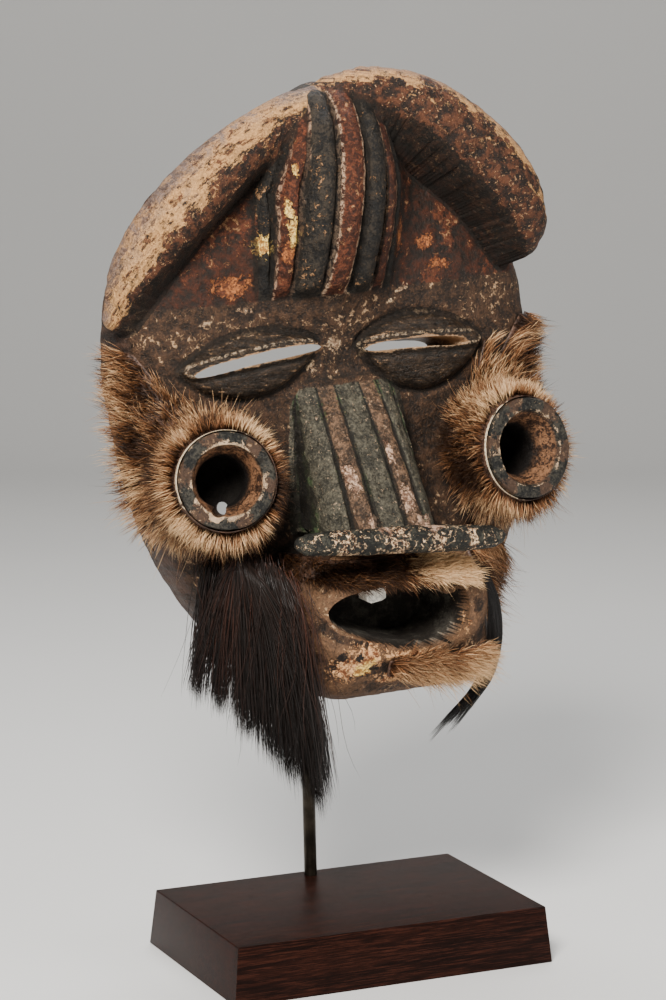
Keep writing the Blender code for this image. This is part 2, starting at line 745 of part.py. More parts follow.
def slab_layers(form, start, way, mask, wrap=False):
    """The inner and outer net of a hide that lies on the form."""
    def at(height):
        return meet(lambda x, y, z: form(x, y, z) - height, start, way, 110, 2, 90, True)

    inner, outer = at(HIDE_LIFT / PART), at((HIDE_LIFT + HIDE_THICKNESS) / PART)
    inner = settled(inner, way, mask, wrap)
    short = HIDE_THICKNESS / PART - np.sum((outer - inner) * np.stack(way, -1), -1)
    return inner, outer + np.maximum(0, short)[..., None] * np.stack(way, -1)


def make_cheek_hide(side, mask, around=28, across=8):
    angle, share = np.meshgrid(np.arange(around) * 2 * pi / around, np.linspace(0, 1, across) ** 0.8)
    start, way = hide_rays(side, angle, share)
    layers = slab_layers(lambda x, y, z: hide_form(side, x, y, z), start, way, mask, True)
    thing = ring_slab("cheek_hide_" + side, *layers)
    return finish(thing, "tan_hide_" + side, (0.25, 0.13, 0.06), 0.9)


# Hide strips, each by (x, z, half its height) along its middle.
MOUSTACHE = [(-39, -102, 4), (-20, -106, 5), (4, -107, 5), (25, -108, 5.5), (41, -112, 5)]
CHIN_FUR = [(-4, -152, 4), (12, -154, 5.5), (30, -156, 6), (45, -153, 5)]
# The strip down the right jaw: heights and half its width, and where its rays start and lean.
JAW_HIDE = [(-99, 5), (-112, 9), (-128, 9.5), (-142, 7.5), (-152, 4)]
JAW_ROOT = (48, 20)
JAW_LEANS = (radians(22), radians(72))


def strip_rays(strip, along, across):
    line = through(strip, along)
    side = np.linspace(-1, 1, across)
    x = np.repeat(line[:, :1], across, 1)
    z = line[:, 1:2] + line[:, 2:3] * side
    still = np.zeros(np.shape(x))
    return (x, still + 10, z), (still, still - 1, still)


def jaw_rays(along, across):
    line = through([(z, half, 0) for z, half in JAW_HIDE], along)
    side = np.linspace(-1, 1, across)
    middle, spread = sum(JAW_LEANS) / 2, (JAW_LEANS[1] - JAW_LEANS[0]) / 2
    widest = max(half for _, half in JAW_HIDE)
    lean = middle + spread * side * line[:, 1:2] / widest
    z = np.repeat(line[:, :1], across, 1)
    still = np.zeros(np.shape(z))
    return (still + JAW_ROOT[0], still + JAW_ROOT[1], z), (np.sin(lean), -np.cos(lean), still)


def make_strip(name, colour, mask, start, way):
    slab = closed_slab(name, *slab_layers(carving, start, way, mask))
    return finish(slab, name + "_hide", colour, 0.9)


# Locks of the beard, each from its root to its tip (x, y, z), and the thickness of its middle.
BEARD_LOCKS = [
    ((-77, 6, -99), (-83, 11, -165), 6.5), ((-72, 1, -99), (-77, 6, -165), 7.5),
    ((-66, -4, -99), (-70, 2, -175), 8), ((-61, -9, -100), (-64, -4, -181), 8.5),
    ((-56, -13, -101), (-57, -8, -191), 8.5), ((-52, -18, -102), (-50, -11, -205), 8),
    ((-50, -23, -104), (-44, -14, -209), 7.5), ((-48, -27, -108), (-38, -16, -207), 6.5),
    ((-46, -30, -116), (-35, -18, -223), 5), ((-45, -29, -128), (-27, -15, -200), 4),
]
HAIR_LOCK = [
    (51, -32, -117, 2.2), (55, -32, -132, 3.2), (56, -30, -152, 3.6), (50, -27, -170, 3.4),
    (40, -24, -181, 2.8), (29, -23, -190, 1.3),
]


def pushed_out(beads, clear):
    """Beads moved off the wood, so that each clears it by its own radius and so much more."""
    beads = np.array(beads, float)
    step = 0.5
    for _ in range(30):
        x, y, z = beads[:, 0], beads[:, 1], beads[:, 2]
        here = carving(x, y, z)
        slope = np.stack([
            carving(x + step, y, z) - here, carving(x, y + step, z) - here,
            carving(x, y, z + step) - here,
        ], -1)
        slope /= np.linalg.norm(slope, axis=1)[:, None] + 1e-9
        short = np.maximum(0, beads[:, 3] + clear - here)
        beads[:, :3] += 0.6 * short[:, None] * slope
    return beads


def lock_beads(root, tip, thick, count=7):
    share = np.linspace(0, 1, count)
    beads = np.zeros((count, 4))
    for k in range(3):
        beads[:, k] = root[k] + (tip[k] - root[k]) * share
    beads[:, 3] = thick * (0.42 + 0.58 * np.sin(pi * np.minimum(share * 1.15, 1)) ** 0.7) - 1.2 * share
    beads[:, 3] = np.maximum(beads[:, 3], 1.2)
    return pushed_out(beads, HAIR_LIFT / PART)


def make_beard():
    thing = None
    for root, tip, thick in BEARD_LOCKS:
        lock = rounded_bar("lock", lock_beads(root, tip, thick), 7, PART)
        if thing is None:
            thing = lock
            thing.name = "beard"
        else:
            combine(thing, lock, "UNION")
    return finish(thing, "dark_brown_hair", (0.03, 0.014, 0.01), 0.7)


def make_hair_lock():
    beads = pushed_out(through(HAIR_LOCK, 12), HAIR_LIFT / PART)
    return finish(rounded_bar("hair_lock", beads, 8, PART), "black_hair", (0.012, 0.009, 0.008), 0.6)


def make_base():
    """A block that widens slightly towards its foot, with the rod's socket in its top."""
    wide, deep = BASE_WIDTH / 2, BASE_DEPTH / 2
    shape = bmesh.new()
    rings = []
    for z, flare in ((0, BASE_FLARE), (BASE_HEIGHT, 0)):
        corners = ((-1, -1), (1, -1), (1, 1), (-1, 1))
        rings.append([shape.verts.new((x * (wide + flare), y * (deep + flare), z)) for x, y in corners])
    shape.faces.new(rings[0][::-1])
    shape.faces.new(rings[1])
    for i in range(4):
        shape.faces.new((rings[0][i], rings[0][(i + 1) % 4], rings[1][(i + 1) % 4], rings[1][i]))
    bmesh.ops.bevel(shape, geom=list(shape.edges), offset=BASE_EDGE, segments=2, profile=0.5, affect="EDGES")
    bmesh.ops.recalc_face_normals(shape, faces=shape.faces)
    mesh = bpy.data.meshes.new("base")
    shape.to_mesh(mesh)
    shape.free()
    thing = bpy.data.objects.new("base", mesh)
    bpy.context.scene.collection.objects.link(thing)
    radius = ROD_DIAMETER / 2 + GAP
    socket = turned("socket", [(radius, -ROD_SOCKET_DEPTH), (radius, 10 * GAP)], 20, rod_frame())
    combine(thing, socket, "DIFFERENCE")
    return finish(thing, "dark_rosewood", (0.035, 0.012, 0.01), 0.25)


def rod_frame():
    """Along the rod: +Z goes up it, from the middle of the socket's mouth."""
    place = Vector((0, BASE_DEPTH / 2 - ROD_SETBACK, BASE_HEIGHT))
    return Matrix.Translation(place) @ Matrix.Rotation(ROD_LEAN, 4, "Y")


def bent_tube(name, points, radius, sides):
    beads = [(*point, radius) for point in points]
    return rounded_bar(name, beads, sides, 1.0, flat=True)


# Where the mount meets the hollow: heights of its upper and lower arm in the mask's frame.
UPPER_ARM = -34
LOWER_ARM = -149


def room_ahead(mask, start, way, radius):
    """How far an arm of that radius can go from start before it meets the mask."""
    side = way.orthogonal().normalized()
    starts = [start] + [
        start + radius * (cos(a) * side + sin(a) * way.cross(side)) for a in np.arange(8) * pi / 4
    ]
    back = mask_frame().inverted()
    found = []
    for point in starts:
        hit, place, _, _ = mask.ray_cast(back @ point, back.to_3x3() @ way)
        if hit:
            found.append((mask_frame() @ place - point).length)
    return min(found)


def make_rod(mask):
    """The stand's rod: up from the base, then forwards into the mask's hollow, with a stay."""
    frame = rod_frame()
    up = frame.to_3x3() @ Vector((0, 0, 1))
    forward = Vector((0, -1, 0))

    def on_rod(height):
        return frame.translation + up * ((height - frame.translation.z) / up.z)

    radius, bend = ROD_DIAMETER / 2, ROD_BEND_RADIUS
    top = on_rod(FACE_HEIGHT + UPPER_ARM * PART)
    points = [frame.translation - up * (ROD_SOCKET_DEPTH - GAP)]
    points += [on_rod(top.z - bend - 6 * radius), on_rod(top.z - bend - 0.6 * radius)]
    turn = np.linspace(0, pi / 2, 7)
    points += [top - up * bend * (1 - sin(t)) + forward * bend * (1 - cos(t)) for t in turn]
    reach = room_ahead(mask, top + forward * bend, forward, radius)
    points.append(top + forward * (bend + reach - GAP))
    thing = bent_tube("stand_rod", points, radius, 16)
    low = on_rod(FACE_HEIGHT + LOWER_ARM * PART)
    reach = room_ahead(mask, low + forward * 2 * radius, forward, STAY_DIAMETER / 2)
    tip = low + forward * (2 * radius + reach - GAP)
    combine(thing, bent_tube("stay", [low, tip], STAY_DIAMETER / 2, 12), "UNION")
    return finish(thing, "dark_bronzed_steel", (0.05, 0.042, 0.035), 0.4, 0.9)


def main():
    clear_scene()
    mask = make_mask()
    hides = [make_cheek_hide(side, mask) for side in TUBES]
    brown = (0.2, 0.1, 0.05)
    hides.append(make_strip("moustache", brown, mask, *strip_rays(MOUSTACHE, 13, 3)))
    hides.append(make_strip("chin_fur", brown, mask, *strip_rays(CHIN_FUR, 10, 3)))
    hides.append(make_strip("jaw_hide_right", brown, mask, *jaw_rays(9, 5)))
    worn = [mask, *hides, make_beard(), make_hair_lock()]
    make_rod(mask)
    make_base()
    holder = bpy.data.objects.new("mask_frame", None)
    bpy.context.scene.collection.objects.link(holder)
    holder.matrix_world = mask_frame()
    for thing in worn:
        thing.parent = holder


if __name__ == "__main__":
    main()
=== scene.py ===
"""Looks of the carved face mask on its stand: carving and old paint, fur, hair, rod and base.

The carving is written in carver's parts, of which the egg of the mask is 269 high, in the
mask's own frame: x to the right as one faces it, y backwards, z up, from between the eyes.
"""

import json
from math import cos, pi, radians, sin

import bmesh
import bpy
import numpy as np
from mathutils import Matrix, Vector, kdtree, noise

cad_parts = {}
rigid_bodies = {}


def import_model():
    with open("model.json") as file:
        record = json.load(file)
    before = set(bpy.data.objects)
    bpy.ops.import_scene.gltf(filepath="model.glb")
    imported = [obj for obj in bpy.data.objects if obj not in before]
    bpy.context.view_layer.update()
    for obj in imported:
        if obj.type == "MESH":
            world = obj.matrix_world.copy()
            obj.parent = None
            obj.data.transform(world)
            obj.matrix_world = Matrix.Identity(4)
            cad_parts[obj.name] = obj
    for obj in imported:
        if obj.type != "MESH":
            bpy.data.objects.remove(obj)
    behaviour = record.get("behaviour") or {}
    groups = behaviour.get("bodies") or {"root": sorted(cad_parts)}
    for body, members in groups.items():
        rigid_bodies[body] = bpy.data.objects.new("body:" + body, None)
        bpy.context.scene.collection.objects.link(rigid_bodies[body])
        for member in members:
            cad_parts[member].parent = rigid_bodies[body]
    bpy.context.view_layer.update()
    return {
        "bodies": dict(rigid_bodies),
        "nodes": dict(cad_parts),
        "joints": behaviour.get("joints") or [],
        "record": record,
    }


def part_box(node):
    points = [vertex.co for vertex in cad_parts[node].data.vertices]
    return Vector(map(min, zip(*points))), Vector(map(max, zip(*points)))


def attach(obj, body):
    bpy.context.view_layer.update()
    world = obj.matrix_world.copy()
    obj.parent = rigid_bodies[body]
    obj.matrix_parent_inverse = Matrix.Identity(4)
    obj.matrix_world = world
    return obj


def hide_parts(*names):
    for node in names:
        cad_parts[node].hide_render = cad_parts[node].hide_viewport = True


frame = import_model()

bl_info = {
    "name": "Carved Mask Maker",
    "version": (1, 0, 0),
    "blender": (4, 5, 0),
    "location": "View3D > Sidebar > Carved Mask",
    "description": "Carves, paints and dresses a face mask with fur and hair, and sets it on its stand",
    "category": "Add Mesh",
}

BASE_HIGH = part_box("base")[1]


def length(name, description, default):
    return bpy.props.FloatProperty(name=name, description=description, default=default, min=0, unit="LENGTH")


def number(name, description, default):
    return bpy.props.IntProperty(name=name, description=description, default=default, min=1)


def tint(name, description, default):
    return bpy.props.FloatVectorProperty(
        name=name, description=description, default=default, size=3, min=0, max=1, subtype="COLOR"
    )


class CarvingSettings(bpy.types.PropertyGroup):
    egg_height: length("Mask height", "Height of the carved egg", 0.272)
    wall: length("Wall", "Thickness of the wood round the hollow", 0.011)
    tilt: bpy.props.FloatProperty(
        name="Tilt", description="How far the mask hangs askew", default=radians(-3.8), subtype="ANGLE"
    )
    face_height: length("Face height", "Height of the point between the eyes", 0.300)
    face_set: length("Face set", "How far that point lies behind the base's middle", 0.008)
    tube_left: length("Left tube", "Diameter of the left cheek tube", 0.0455)
    tube_right: length("Right tube", "Diameter of the right cheek tube", 0.0485)
    tube_mouth_left: length("Left tube mouth", "Diameter of the left tube's mouth", 0.0335)
    tube_mouth_right: length("Right tube mouth", "Diameter of the right tube's mouth", 0.0370)
    bore: length("Bore", "Diameter of the bore behind each funnel", 0.0240)
    bore_depth: length("Bore depth", "Depth of each bore", 0.036)
    funnel_depth: length("Funnel depth", "Depth of each funnel", 0.016)
    tube_length: length("Tube length", "How far each tube runs into the face", 0.042)
    lacing_hole: length("Lacing hole", "Diameter of the lacing holes in the rim", 0.0045)
    crust: tint("Crust", "Dark crust over the wood", (0.027, 0.015, 0.008))
    brown: tint("Brown wood", "Wood where it is rubbed", (0.105, 0.052, 0.026))
    red: tint("Red paint", "Worn red-brown paint of the forehead", (0.190, 0.052, 0.020))
    black: tint("Black paint", "Lighter blotches in the ribs' black paint", (0.028, 0.021, 0.014))
    pale: tint("Pale rubbed wood", "Rubbed skin of the rolls", (0.64, 0.48, 0.36))
    ochre: tint("Ochre", "Ochre streaks and chips", (0.56, 0.30, 0.115))
    green: tint("Green", "Green left in the nose's grooves", (0.060, 0.110, 0.038))


class FurSettings(bpy.types.PropertyGroup):
    hair_length: length("Fur length", "Length of the hides' hair", 0.0125)
    hair_width: length("Fur width", "Width of one hair at its root", 0.00034)
    hairs: number("Hairs on a cheek hide", "How many hairs stand on each cheek hide", 9500)
    root: tint("Fur root", "Colour of the hair at its root", (0.040, 0.015, 0.007))
    middle: tint("Fur middle", "Colour of the hair half way", (0.300, 0.125, 0.048))
    tip: tint("Fur tip", "Colour of the palest tips", (0.78, 0.52, 0.28))
    leather: tint("Leather", "Bare hide", (0.060, 0.030, 0.018))


class HairSettings(bpy.types.PropertyGroup):
    strands: number("Beard strands", "How many strands hang in the beard", 3200)
    strand_width: length("Strand width", "Width of one strand at its root", 0.00042)
    red_brown: tint("Reddish strands", "Colour of the beard's outer strands", (0.085, 0.026, 0.013))
    black_brown: tint("Dark strands", "Colour of the beard's inner strands", (0.009, 0.0055, 0.004))


class StandSettings(bpy.types.PropertyGroup):
    rod_width: length("Rod", "Diameter of the stand's rod", 0.00635)
    stay_width: length("Stay", "Diameter of the lower stay", 0.0048)
    edge: length("Base edge", "Rounding of the base's edges", 0.0006)
    dark_wood: tint("Rosewood dark", "Dark bands of the base's wood", (0.009, 0.0035, 0.0025))
    red_wood: tint("Rosewood red", "Red bands of the base's wood", (0.042, 0.013, 0.008))
    bronze: tint("Bronzed steel", "Colour of the rod", (0.030, 0.024, 0.017))


class StudioSettings(bpy.types.PropertyGroup):
    floor: tint("Floor", "Colour of the floor and backdrop", (0.70, 0.70, 0.69))
    key: bpy.props.FloatProperty(name="Key light", description="Watts of the main light", default=52)
    fill: bpy.props.FloatProperty(name="Fill light", description="Watts of the fill light", default=8)
    lens: bpy.props.FloatProperty(name="Lens", description="Focal length in millimetres", default=108)


# The egg that the mask was hewn from: its outline seen from the front, and its depth.
EGG_MIDDLE = -20
EGG_UP = 121
EGG_DOWN = 148
EGG_HALF_WIDTH = 104
EGG_TAPER = 0.075
EGG_SWELL = 6
EGG_SWAY = -0.04
EGG_UPPER_POWER = 2.05
EGG_LOWER_POWER = 2.75
EGG_BACK = 50
EGG_DEPTH = 48
EGG_FRONT_POWER = 4.2

# Fineness of the nets that the carving and the hollow are read on.
FACE_NET = (240, 290)
HOLLOW_NET = (90, 110)


def carving_settings():
    return bpy.context.scene.mask_carving


def unit():
    """One carver's part in metres."""
    return carving_settings().egg_height / (EGG_UP + EGG_DOWN)


def parts(size):
    return size / unit()


def mask_frame():
    s = carving_settings()
    return Matrix.Translation((0, s.face_set, s.face_height)) @ Matrix.Rotation(s.tilt, 4, "Y")


def smooth_step(value, low, high):
    share = np.clip((value - low) / (high - low), 0, 1)
    return share * share * (3 - 2 * share)


def smooth_union(first, second, blend):
    share = np.clip(0.5 + 0.5 * (second - first) / blend, 0, 1)
    return second + (first - second) * share - blend * share * (1 - share)


def egg_share(x, z):
    """0 on the middle of the face, 1 on the egg's outline."""
    half = EGG_HALF_WIDTH + EGG_TAPER * (z - EGG_MIDDLE) + EGG_SWELL * smooth_step(x, 0, 60)
    tall = np.where(z > EGG_MIDDLE, EGG_UP, EGG_DOWN)
    power = np.where(z > EGG_MIDDLE, EGG_UPPER_POWER, EGG_LOWER_POWER)
    sway = EGG_SWAY * np.minimum(z - EGG_MIDDLE, 0)
    wide = np.abs((x - sway) / half) ** power
    return (wide + np.abs((z - EGG_MIDDLE) / tall) ** power) ** (1 / power)


def egg(x, y, z):
    power = EGG_FRONT_POWER
    wide = egg_share(x, z) ** power
    deep = np.maximum(0, (EGG_BACK - y) / EGG_DEPTH) ** power
    level = (wide + deep) ** (1 / power) - 1
    front = deep / (wide + deep + 1e-9)
    return level * (front * EGG_DEPTH + (1 - front) * EGG_HALF_WIDTH)


def rounded_block(x, y, z, centre, halves, rounding):
    q = [np.abs(v - c) - (h - rounding) for v, c, h in zip((x, y, z), centre, halves)]
    outside = np.sqrt(sum(np.maximum(v, 0) ** 2 for v in q))
    return outside + np.minimum(np.maximum(np.maximum(q[0], q[1]), q[2]), 0) - rounding


def through(points, count):
    """Points read from a smooth curve through the given ones."""
    points = np.array(points, float)
    ends = [2 * points[0] - points[1]], [2 * points[-1] - points[-2]]
    path = np.concatenate([ends[0], points, ends[1]])
    at = np.linspace(0, len(points) - 1 - 1e-9, count) if np.ndim(count) == 0 else count
    i = np.clip(at.astype(int), 0, len(points) - 2)
    t = (at - i)[:, None]
    p0, p1, p2, p3 = (path[i + k] for k in range(4))
    return 0.5 * (
        2 * p1 + (p2 - p0) * t + (2 * p0 - 5 * p1 + 4 * p2 - p3) * t**2
        + (3 * p1 - p0 - 3 * p2 + p3) * t**3
    )


def chain(x, y, z, beads):
    """Distance to a rounded bar through beads (x, y, z, radius)."""
    nearest = np.full(np.shape(x), 1e9)
    for a, b in zip(beads, beads[1:]):
        step = b[:3] - a[:3]
        along = ((x - a[0]) * step[0] + (y - a[1]) * step[1] + (z - a[2]) * step[2]) / (step @ step)
        along = np.clip(along, 0, 1)
        gap = [v - p - along * d for v, p, d in zip((x, y, z), a[:3], step)]
        away = np.sqrt(gap[0] ** 2 + gap[1] ** 2 + gap[2] ** 2)
        nearest = np.minimum(nearest, away - (a[3] + along * (b[3] - a[3])))
    return nearest


# The two swollen rolls that run from the crown down to the temples.
ROLL_LEFT = through([
    (-1, 8, 108, 8), (-18, 5, 103, 11.5), (-44, 3, 90, 13.5), (-66, 4, 73, 15),
    (-84, 8, 55, 14.5), (-96, 14, 37, 12), (-103, 21, 18, 7),
], 22)
ROLL_RIGHT = through([
    (5, 7, 112, 9), (22, 3, 112, 12), (44, 0, 103, 16), (66, -2, 86, 18),
    (85, -2, 66, 17.5), (95, 0, 48, 14.5), (97, 4, 38, 11),
], 22)
ROLL_LENGTH = 140

NOSE_TOP = -19
NOSE_FOOT = -89
NOSE_TOP_HALF = 27
NOSE_FOOT_HALF = 32
NOSE_ROOT = 12
NOSE_REACH = 48
NOSE_GROOVES = (-0.93, -0.57, -0.24, 0.21, 0.55, 0.84)


def nose_down(z):
    return np.clip((NOSE_TOP - z) / (NOSE_TOP - NOSE_FOOT), 0, 1)


def nose_half(z):
    return NOSE_TOP_HALF + (NOSE_FOOT_HALF - NOSE_TOP_HALF) * nose_down(z) ** 0.7


def nose_share(x, z):
    """From -1 on the nose's left edge to 1 on its right."""
    return (x - 0.02 * (NOSE_TOP - z)) / nose_half(z)


def nose(x, y, z):
    reach = NOSE_ROOT - 2 + NOSE_REACH * nose_down(z) ** 0.85
    power = 2.9
    across = np.abs(nose_share(x, z)) ** power
    across = (across + np.abs((y - NOSE_ROOT) / reach) ** power) ** (1 / power)
    return np.maximum((across - 1) * 28, np.maximum(z - NOSE_TOP, NOSE_FOOT - z))


MUZZLE = ((8, 4, -135), (50, 42, 34), 24)
# The middle of the forehead swells out along a bar (x, y, z, radius) from the brow to the crown.
FOREHEAD = through([
    (-6, 34, 20, 33), (-5, 25, 34, 33), (-3, 17, 52, 36), (0, 15, 70, 37), (2, 16, 84, 32),
    (3, 20, 96, 22),
], 12)


def face(x, y, z):
    """The mask's broad forms but for the muzzle."""
    form = smooth_union(egg(x, y, z), chain(x, y, z, FOREHEAD), 16)
    return smooth_union(form, nose(x, y, z), 6)


def head(x, y, z):
    return smooth_union(face(x, y, z), rounded_block(x, y, z, *MUZZLE), 18)


# Vertical ribs of the forehead: x at the crown, the middle and the brow, width and height.
RIBS = [
    (-21, -37, -38, 5, 2.0),
    (-16, -28.5, -31, 9, 3.4),
    (-9.5, -15.5, -19.5, 13, 5.0),
    (4, -0.5, -6.5, 13, 4.4),
    (16, 13, 8, 11, 5.0),
    (21, 23, 18.5, 8, 3.4),
    (25, 29.5, 24.5, 5, 2.0),
]
RIB_HEIGHTS = (26, 70, 107)


def rib_centre(rib, z):
    return np.interp(z, RIB_HEIGHTS, rib[2::-1])


def rib_number(x, z):
    """Counts across the ribs: 0 on the middle of the first, 6 on the last, on beyond both."""
    centres = [rib_centre(rib, z) for rib in RIBS]
    count = np.minimum(0, (x - centres[0]) / RIBS[0][3]) + np.maximum(0, (x - centres[-1]) / RIBS[-1][3])
    for a, b in zip(centres, centres[1:]):
        count = count + np.clip((x - a) / (b - a), 0, 1)
    return count


def ribs(x, z):
    raised = np.zeros(np.shape(x))
    for rib in RIBS:
        away = np.abs(x - rib_centre(rib, z)) / (rib[3] / 2)
        raised = np.maximum(raised, rib[4] * np.sqrt(np.maximum(0, 1 - away**2)))
    return raised * smooth_step(z, 20, 27) * smooth_step(-z, -122, -112)


# Eyes: outer and inner corner (x, z), height above and below the line between, how proud.
EYES = {
    "left": ((-83, -9), (-12, -1), 12, 20, 8),
    "right": ((8, -3), (75, -9), 13, 24, 8),
}
# Slits: their ends (x, z) in front and behind, and the height of the cut in front and behind.
SLITS = {
    "left": (((-78, -8.5), (-16, -1.5)), ((-72, -13.6), (-3, -6.6)), 4.6, 6.4),
    "right": (((9, -5), (72, -7.5)), ((14, -11.2), (46, -12.2)), 4.4, 5.4),
}
SLIT_ARCH = 1.2


def lens_place(x, z, ends):
    """Along a lens from -1 to 1, and the height above the line between its corners."""
    (x0, z0), (x1, z1) = ends
    half = np.hypot(x1 - x0, z1 - z0) / 2
    dx, dz = (x1 - x0) / (2 * half), (z1 - z0) / (2 * half)
    px, pz = x - (x0 + x1) / 2, z - (z0 + z1) / 2
    return (px * dx + pz * dz) / half, pz * dx - px * dz


def eye_mound(x, z, eye):
    along, above = lens_place(x, z, eye[:2])
    width = np.maximum(1 - along**2, 1e-3)
    edge = np.where(above > 0, eye[2], eye[3]) * width**0.8
    return eye[4] * width**0.4 * np.sqrt(np.maximum(0, 1 - (above / edge) ** 2))


def eye_groove(x, z, eye):
    """The line cut round each eye that parts the lids from the brow and the cheek."""
    along, above = lens_place(x, z, eye[:2])
    width = np.maximum(1 - along**2, 1e-3)
    edge = np.where(above > 0, eye[2], eye[3]) * width**0.8
    away = (np.abs(above) - edge) / 2.2
    return 1.5 * np.exp(-(away**2)) * (np.abs(along) < 1)


def slit_distance(x, z, slit):
    """How far a point lies above or below a slit's edge."""
    ends, _, tall, _ = slit
    along, above = lens_place(x, z, ends)
    short = np.clip(np.abs(along), 0, 1)
    edge = tall / 2 * np.sqrt(1 - short**4)
    beyond = np.maximum(np.abs(along) - 1, 0) * 40
    return np.abs(above - SLIT_ARCH * (1 - short**2)) - edge + beyond


def lid_rims(x, z):
    """The narrow lip carved along both edges of each slit."""
    away = np.minimum(*[slit_distance(x, z, slit) for slit in SLITS.values()])
    return 0.9 * np.exp(-(((away - 1.5) / 1.1) ** 2)) - 0.7 * np.exp(-(((away - 4.4) / 1.3) ** 2))


def nose_grooves(x, z):
    share = nose_share(x, z)
    cut = np.zeros(np.shape(x))
    for groove in NOSE_GROOVES:
        cut = np.maximum(cut, np.exp(-(((share - groove) / 0.040) ** 2)))
    return cut * smooth_step(z, NOSE_FOOT - 3, NOSE_FOOT + 3) * smooth_step(-z, 24, 34)


# The open mouth, seen from the front, and the edge that stands up round it.
MOUTH = [
    (-31, -121), (-24, -116), (-10, -114), (10, -114), (26, -115), (35, -119), (39, -127),
    (37, -136), (30, -142), (20, -145), (8, -144), (-6, -140), (-22, -133), (-30, -127),
]
LIP = ((4, -128), 36, 15)
MOUTH_FLOOR = (6, -129)
MOUTH_FLOOR_BACK = -6
MOUTH_FLOOR_SHARE = 0.72


def lips(x, z):
    (cx, cz), half, tall = LIP
    away = np.sqrt(((x - cx) / half) ** 2 + ((z - cz) / tall) ** 2)
    return 3.0 * np.exp(-(((away - 1.22) / 0.22) ** 2))


def relief(x, z):
    """How far the finer carving stands proud of the broad forms."""
    raised = ribs(x, z)
    for eye in EYES.values():
        raised = np.maximum(raised, eye_mound(x, z, eye)) - eye_groove(x, z, eye)
    return raised - 1.4 * nose_grooves(x, z) + lips(x, z) + lid_rims(x, z)


def rolls(x, y, z):
    return np.minimum(chain(x, y, z, ROLL_LEFT), chain(x, y, z, ROLL_RIGHT))


def carving(x, y, z):
    """Below zero inside the wood, above zero outside it."""
    form = head(x, y, z) - relief(x, z) * smooth_step(-y, -14, 2)
    form = smooth_union(form, chain(x, y, z, ROLL_LEFT), 3)
    return smooth_union(form, chain(x, y, z, ROLL_RIGHT), 3)


def hollow(x, y, z):
    """Below zero where the back of the mask is hollowed out, which the muzzle isn't."""
    return face(x, y, z) + parts(carving_settings().wall)


RIM_BACK = 45
RIM_CHIN = 28
RIM_CROWN = 36
CORNER_START = 0.66
SIDE_START = 0.88
CORNER_DEPTH = 24
CORNER_INSET = 28


def rim_back(z):
    """Where the rear edge lies: it comes forward under the chin and at the crown."""
    back = RIM_CHIN + (RIM_BACK - RIM_CHIN) * smooth_step(z, -172, -70)
    return back - (RIM_BACK - RIM_CROWN) * smooth_step(z, 40, 110)


def outline(angle):
    """How far the egg's outline lies from its middle, seen from the front."""
    reach = np.full(np.shape(angle), 100.0)
    for _ in range(14):
        share = egg_share(reach * np.sin(angle), EGG_MIDDLE + reach * np.cos(angle))
        reach = reach / share
    return reach


def rays(angle, share):
    """Starts and directions of the rays that meet the wood: share 0 is mid-face, 1 the rim.

    They run forwards over the face, fan out round its edge and run sideways along the flank.
    """
    last = rim_back(EGG_MIDDLE + outline(angle) * np.cos(angle))
    inner = outline(angle) - CORNER_INSET
    reach = inner * np.minimum(share / CORNER_START, 1)
    first = np.minimum(CORNER_DEPTH, last - 14)
    y = first + (last - first) * np.clip((share - SIDE_START) / (1 - SIDE_START), 0, 1)
    lean = pi / 2 * np.clip((share - CORNER_START) / (SIDE_START - CORNER_START), 0, 1)
    start = (reach * np.sin(angle), y, EGG_MIDDLE + reach * np.cos(angle))
    return start, (np.sin(lean) * np.sin(angle), -np.cos(lean), np.sin(lean) * np.cos(angle))


def meet(form, start, direction, far=86, near=-12, steps=50, outward=False):
    """The last point of the form on each ray from inside it, or the first if outward."""
    shape = np.shape(direction[0])
    start = [np.broadcast_to(s, shape).ravel() for s in start]
    direction = [np.broadcast_to(d, shape).ravel() for d in direction]
    found = np.full(len(start[0]), float(near))
    waiting = np.arange(len(found))
    stride = (far - near) / steps
    for step in range(steps):
        reach = near + (step + 1) * stride if outward else far - step * stride
        inside = form(*[s[waiting] + reach * d[waiting] for s, d in zip(start, direction)]) < 0
        stop = ~inside if outward else inside
        found[waiting[stop]] = reach
        waiting = waiting[~stop]
        if not len(waiting):
            break
    low, high = (found - stride, found) if outward else (found, found + stride)
    for _ in range(12):
        middle = (low + high) / 2
        inside = form(*[s + middle * d for s, d in zip(start, direction)]) < 0
        low, high = np.where(inside, middle, low), np.where(inside, high, middle)
    reach = (low + high) / 2
    return np.stack([s + reach * d for s, d in zip(start, direction)], -1).reshape(*shape, 3)


def skin(form, columns, rows):
    """The form's front read on a square net that is stretched over it, its edge on the rim."""
    u, v = np.meshgrid(np.linspace(-1, 1, columns + 1), np.linspace(-1, 1, rows + 1))
    across, up = u * np.sqrt(1 - v**2 / 2), v * np.sqrt(1 - u**2 / 2)
    return meet(form, *rays(np.arctan2(across, up), np.hypot(across, up)))


def grid(rows, columns, offset=0, wrap=False, flip=False):
    """Quads between the points of a net, as rows of four numbers."""
    index = offset + np.arange(rows * columns).reshape(rows, columns)
    if wrap:
        index = np.concatenate([index, index[:, :1]], axis=1)
    quads = np.stack([index[:-1, :-1], index[:-1, 1:], index[1:, 1:], index[1:, :-1]], -1).reshape(-1, 4)
    return quads[:, ::-1] if flip else quads


def net_edge(rows, columns):
    index = np.arange(rows * columns).reshape(rows, columns)
    return np.concatenate([index[0, :-1], index[:-1, -1], index[-1, :0:-1], index[:0:-1, 0]])


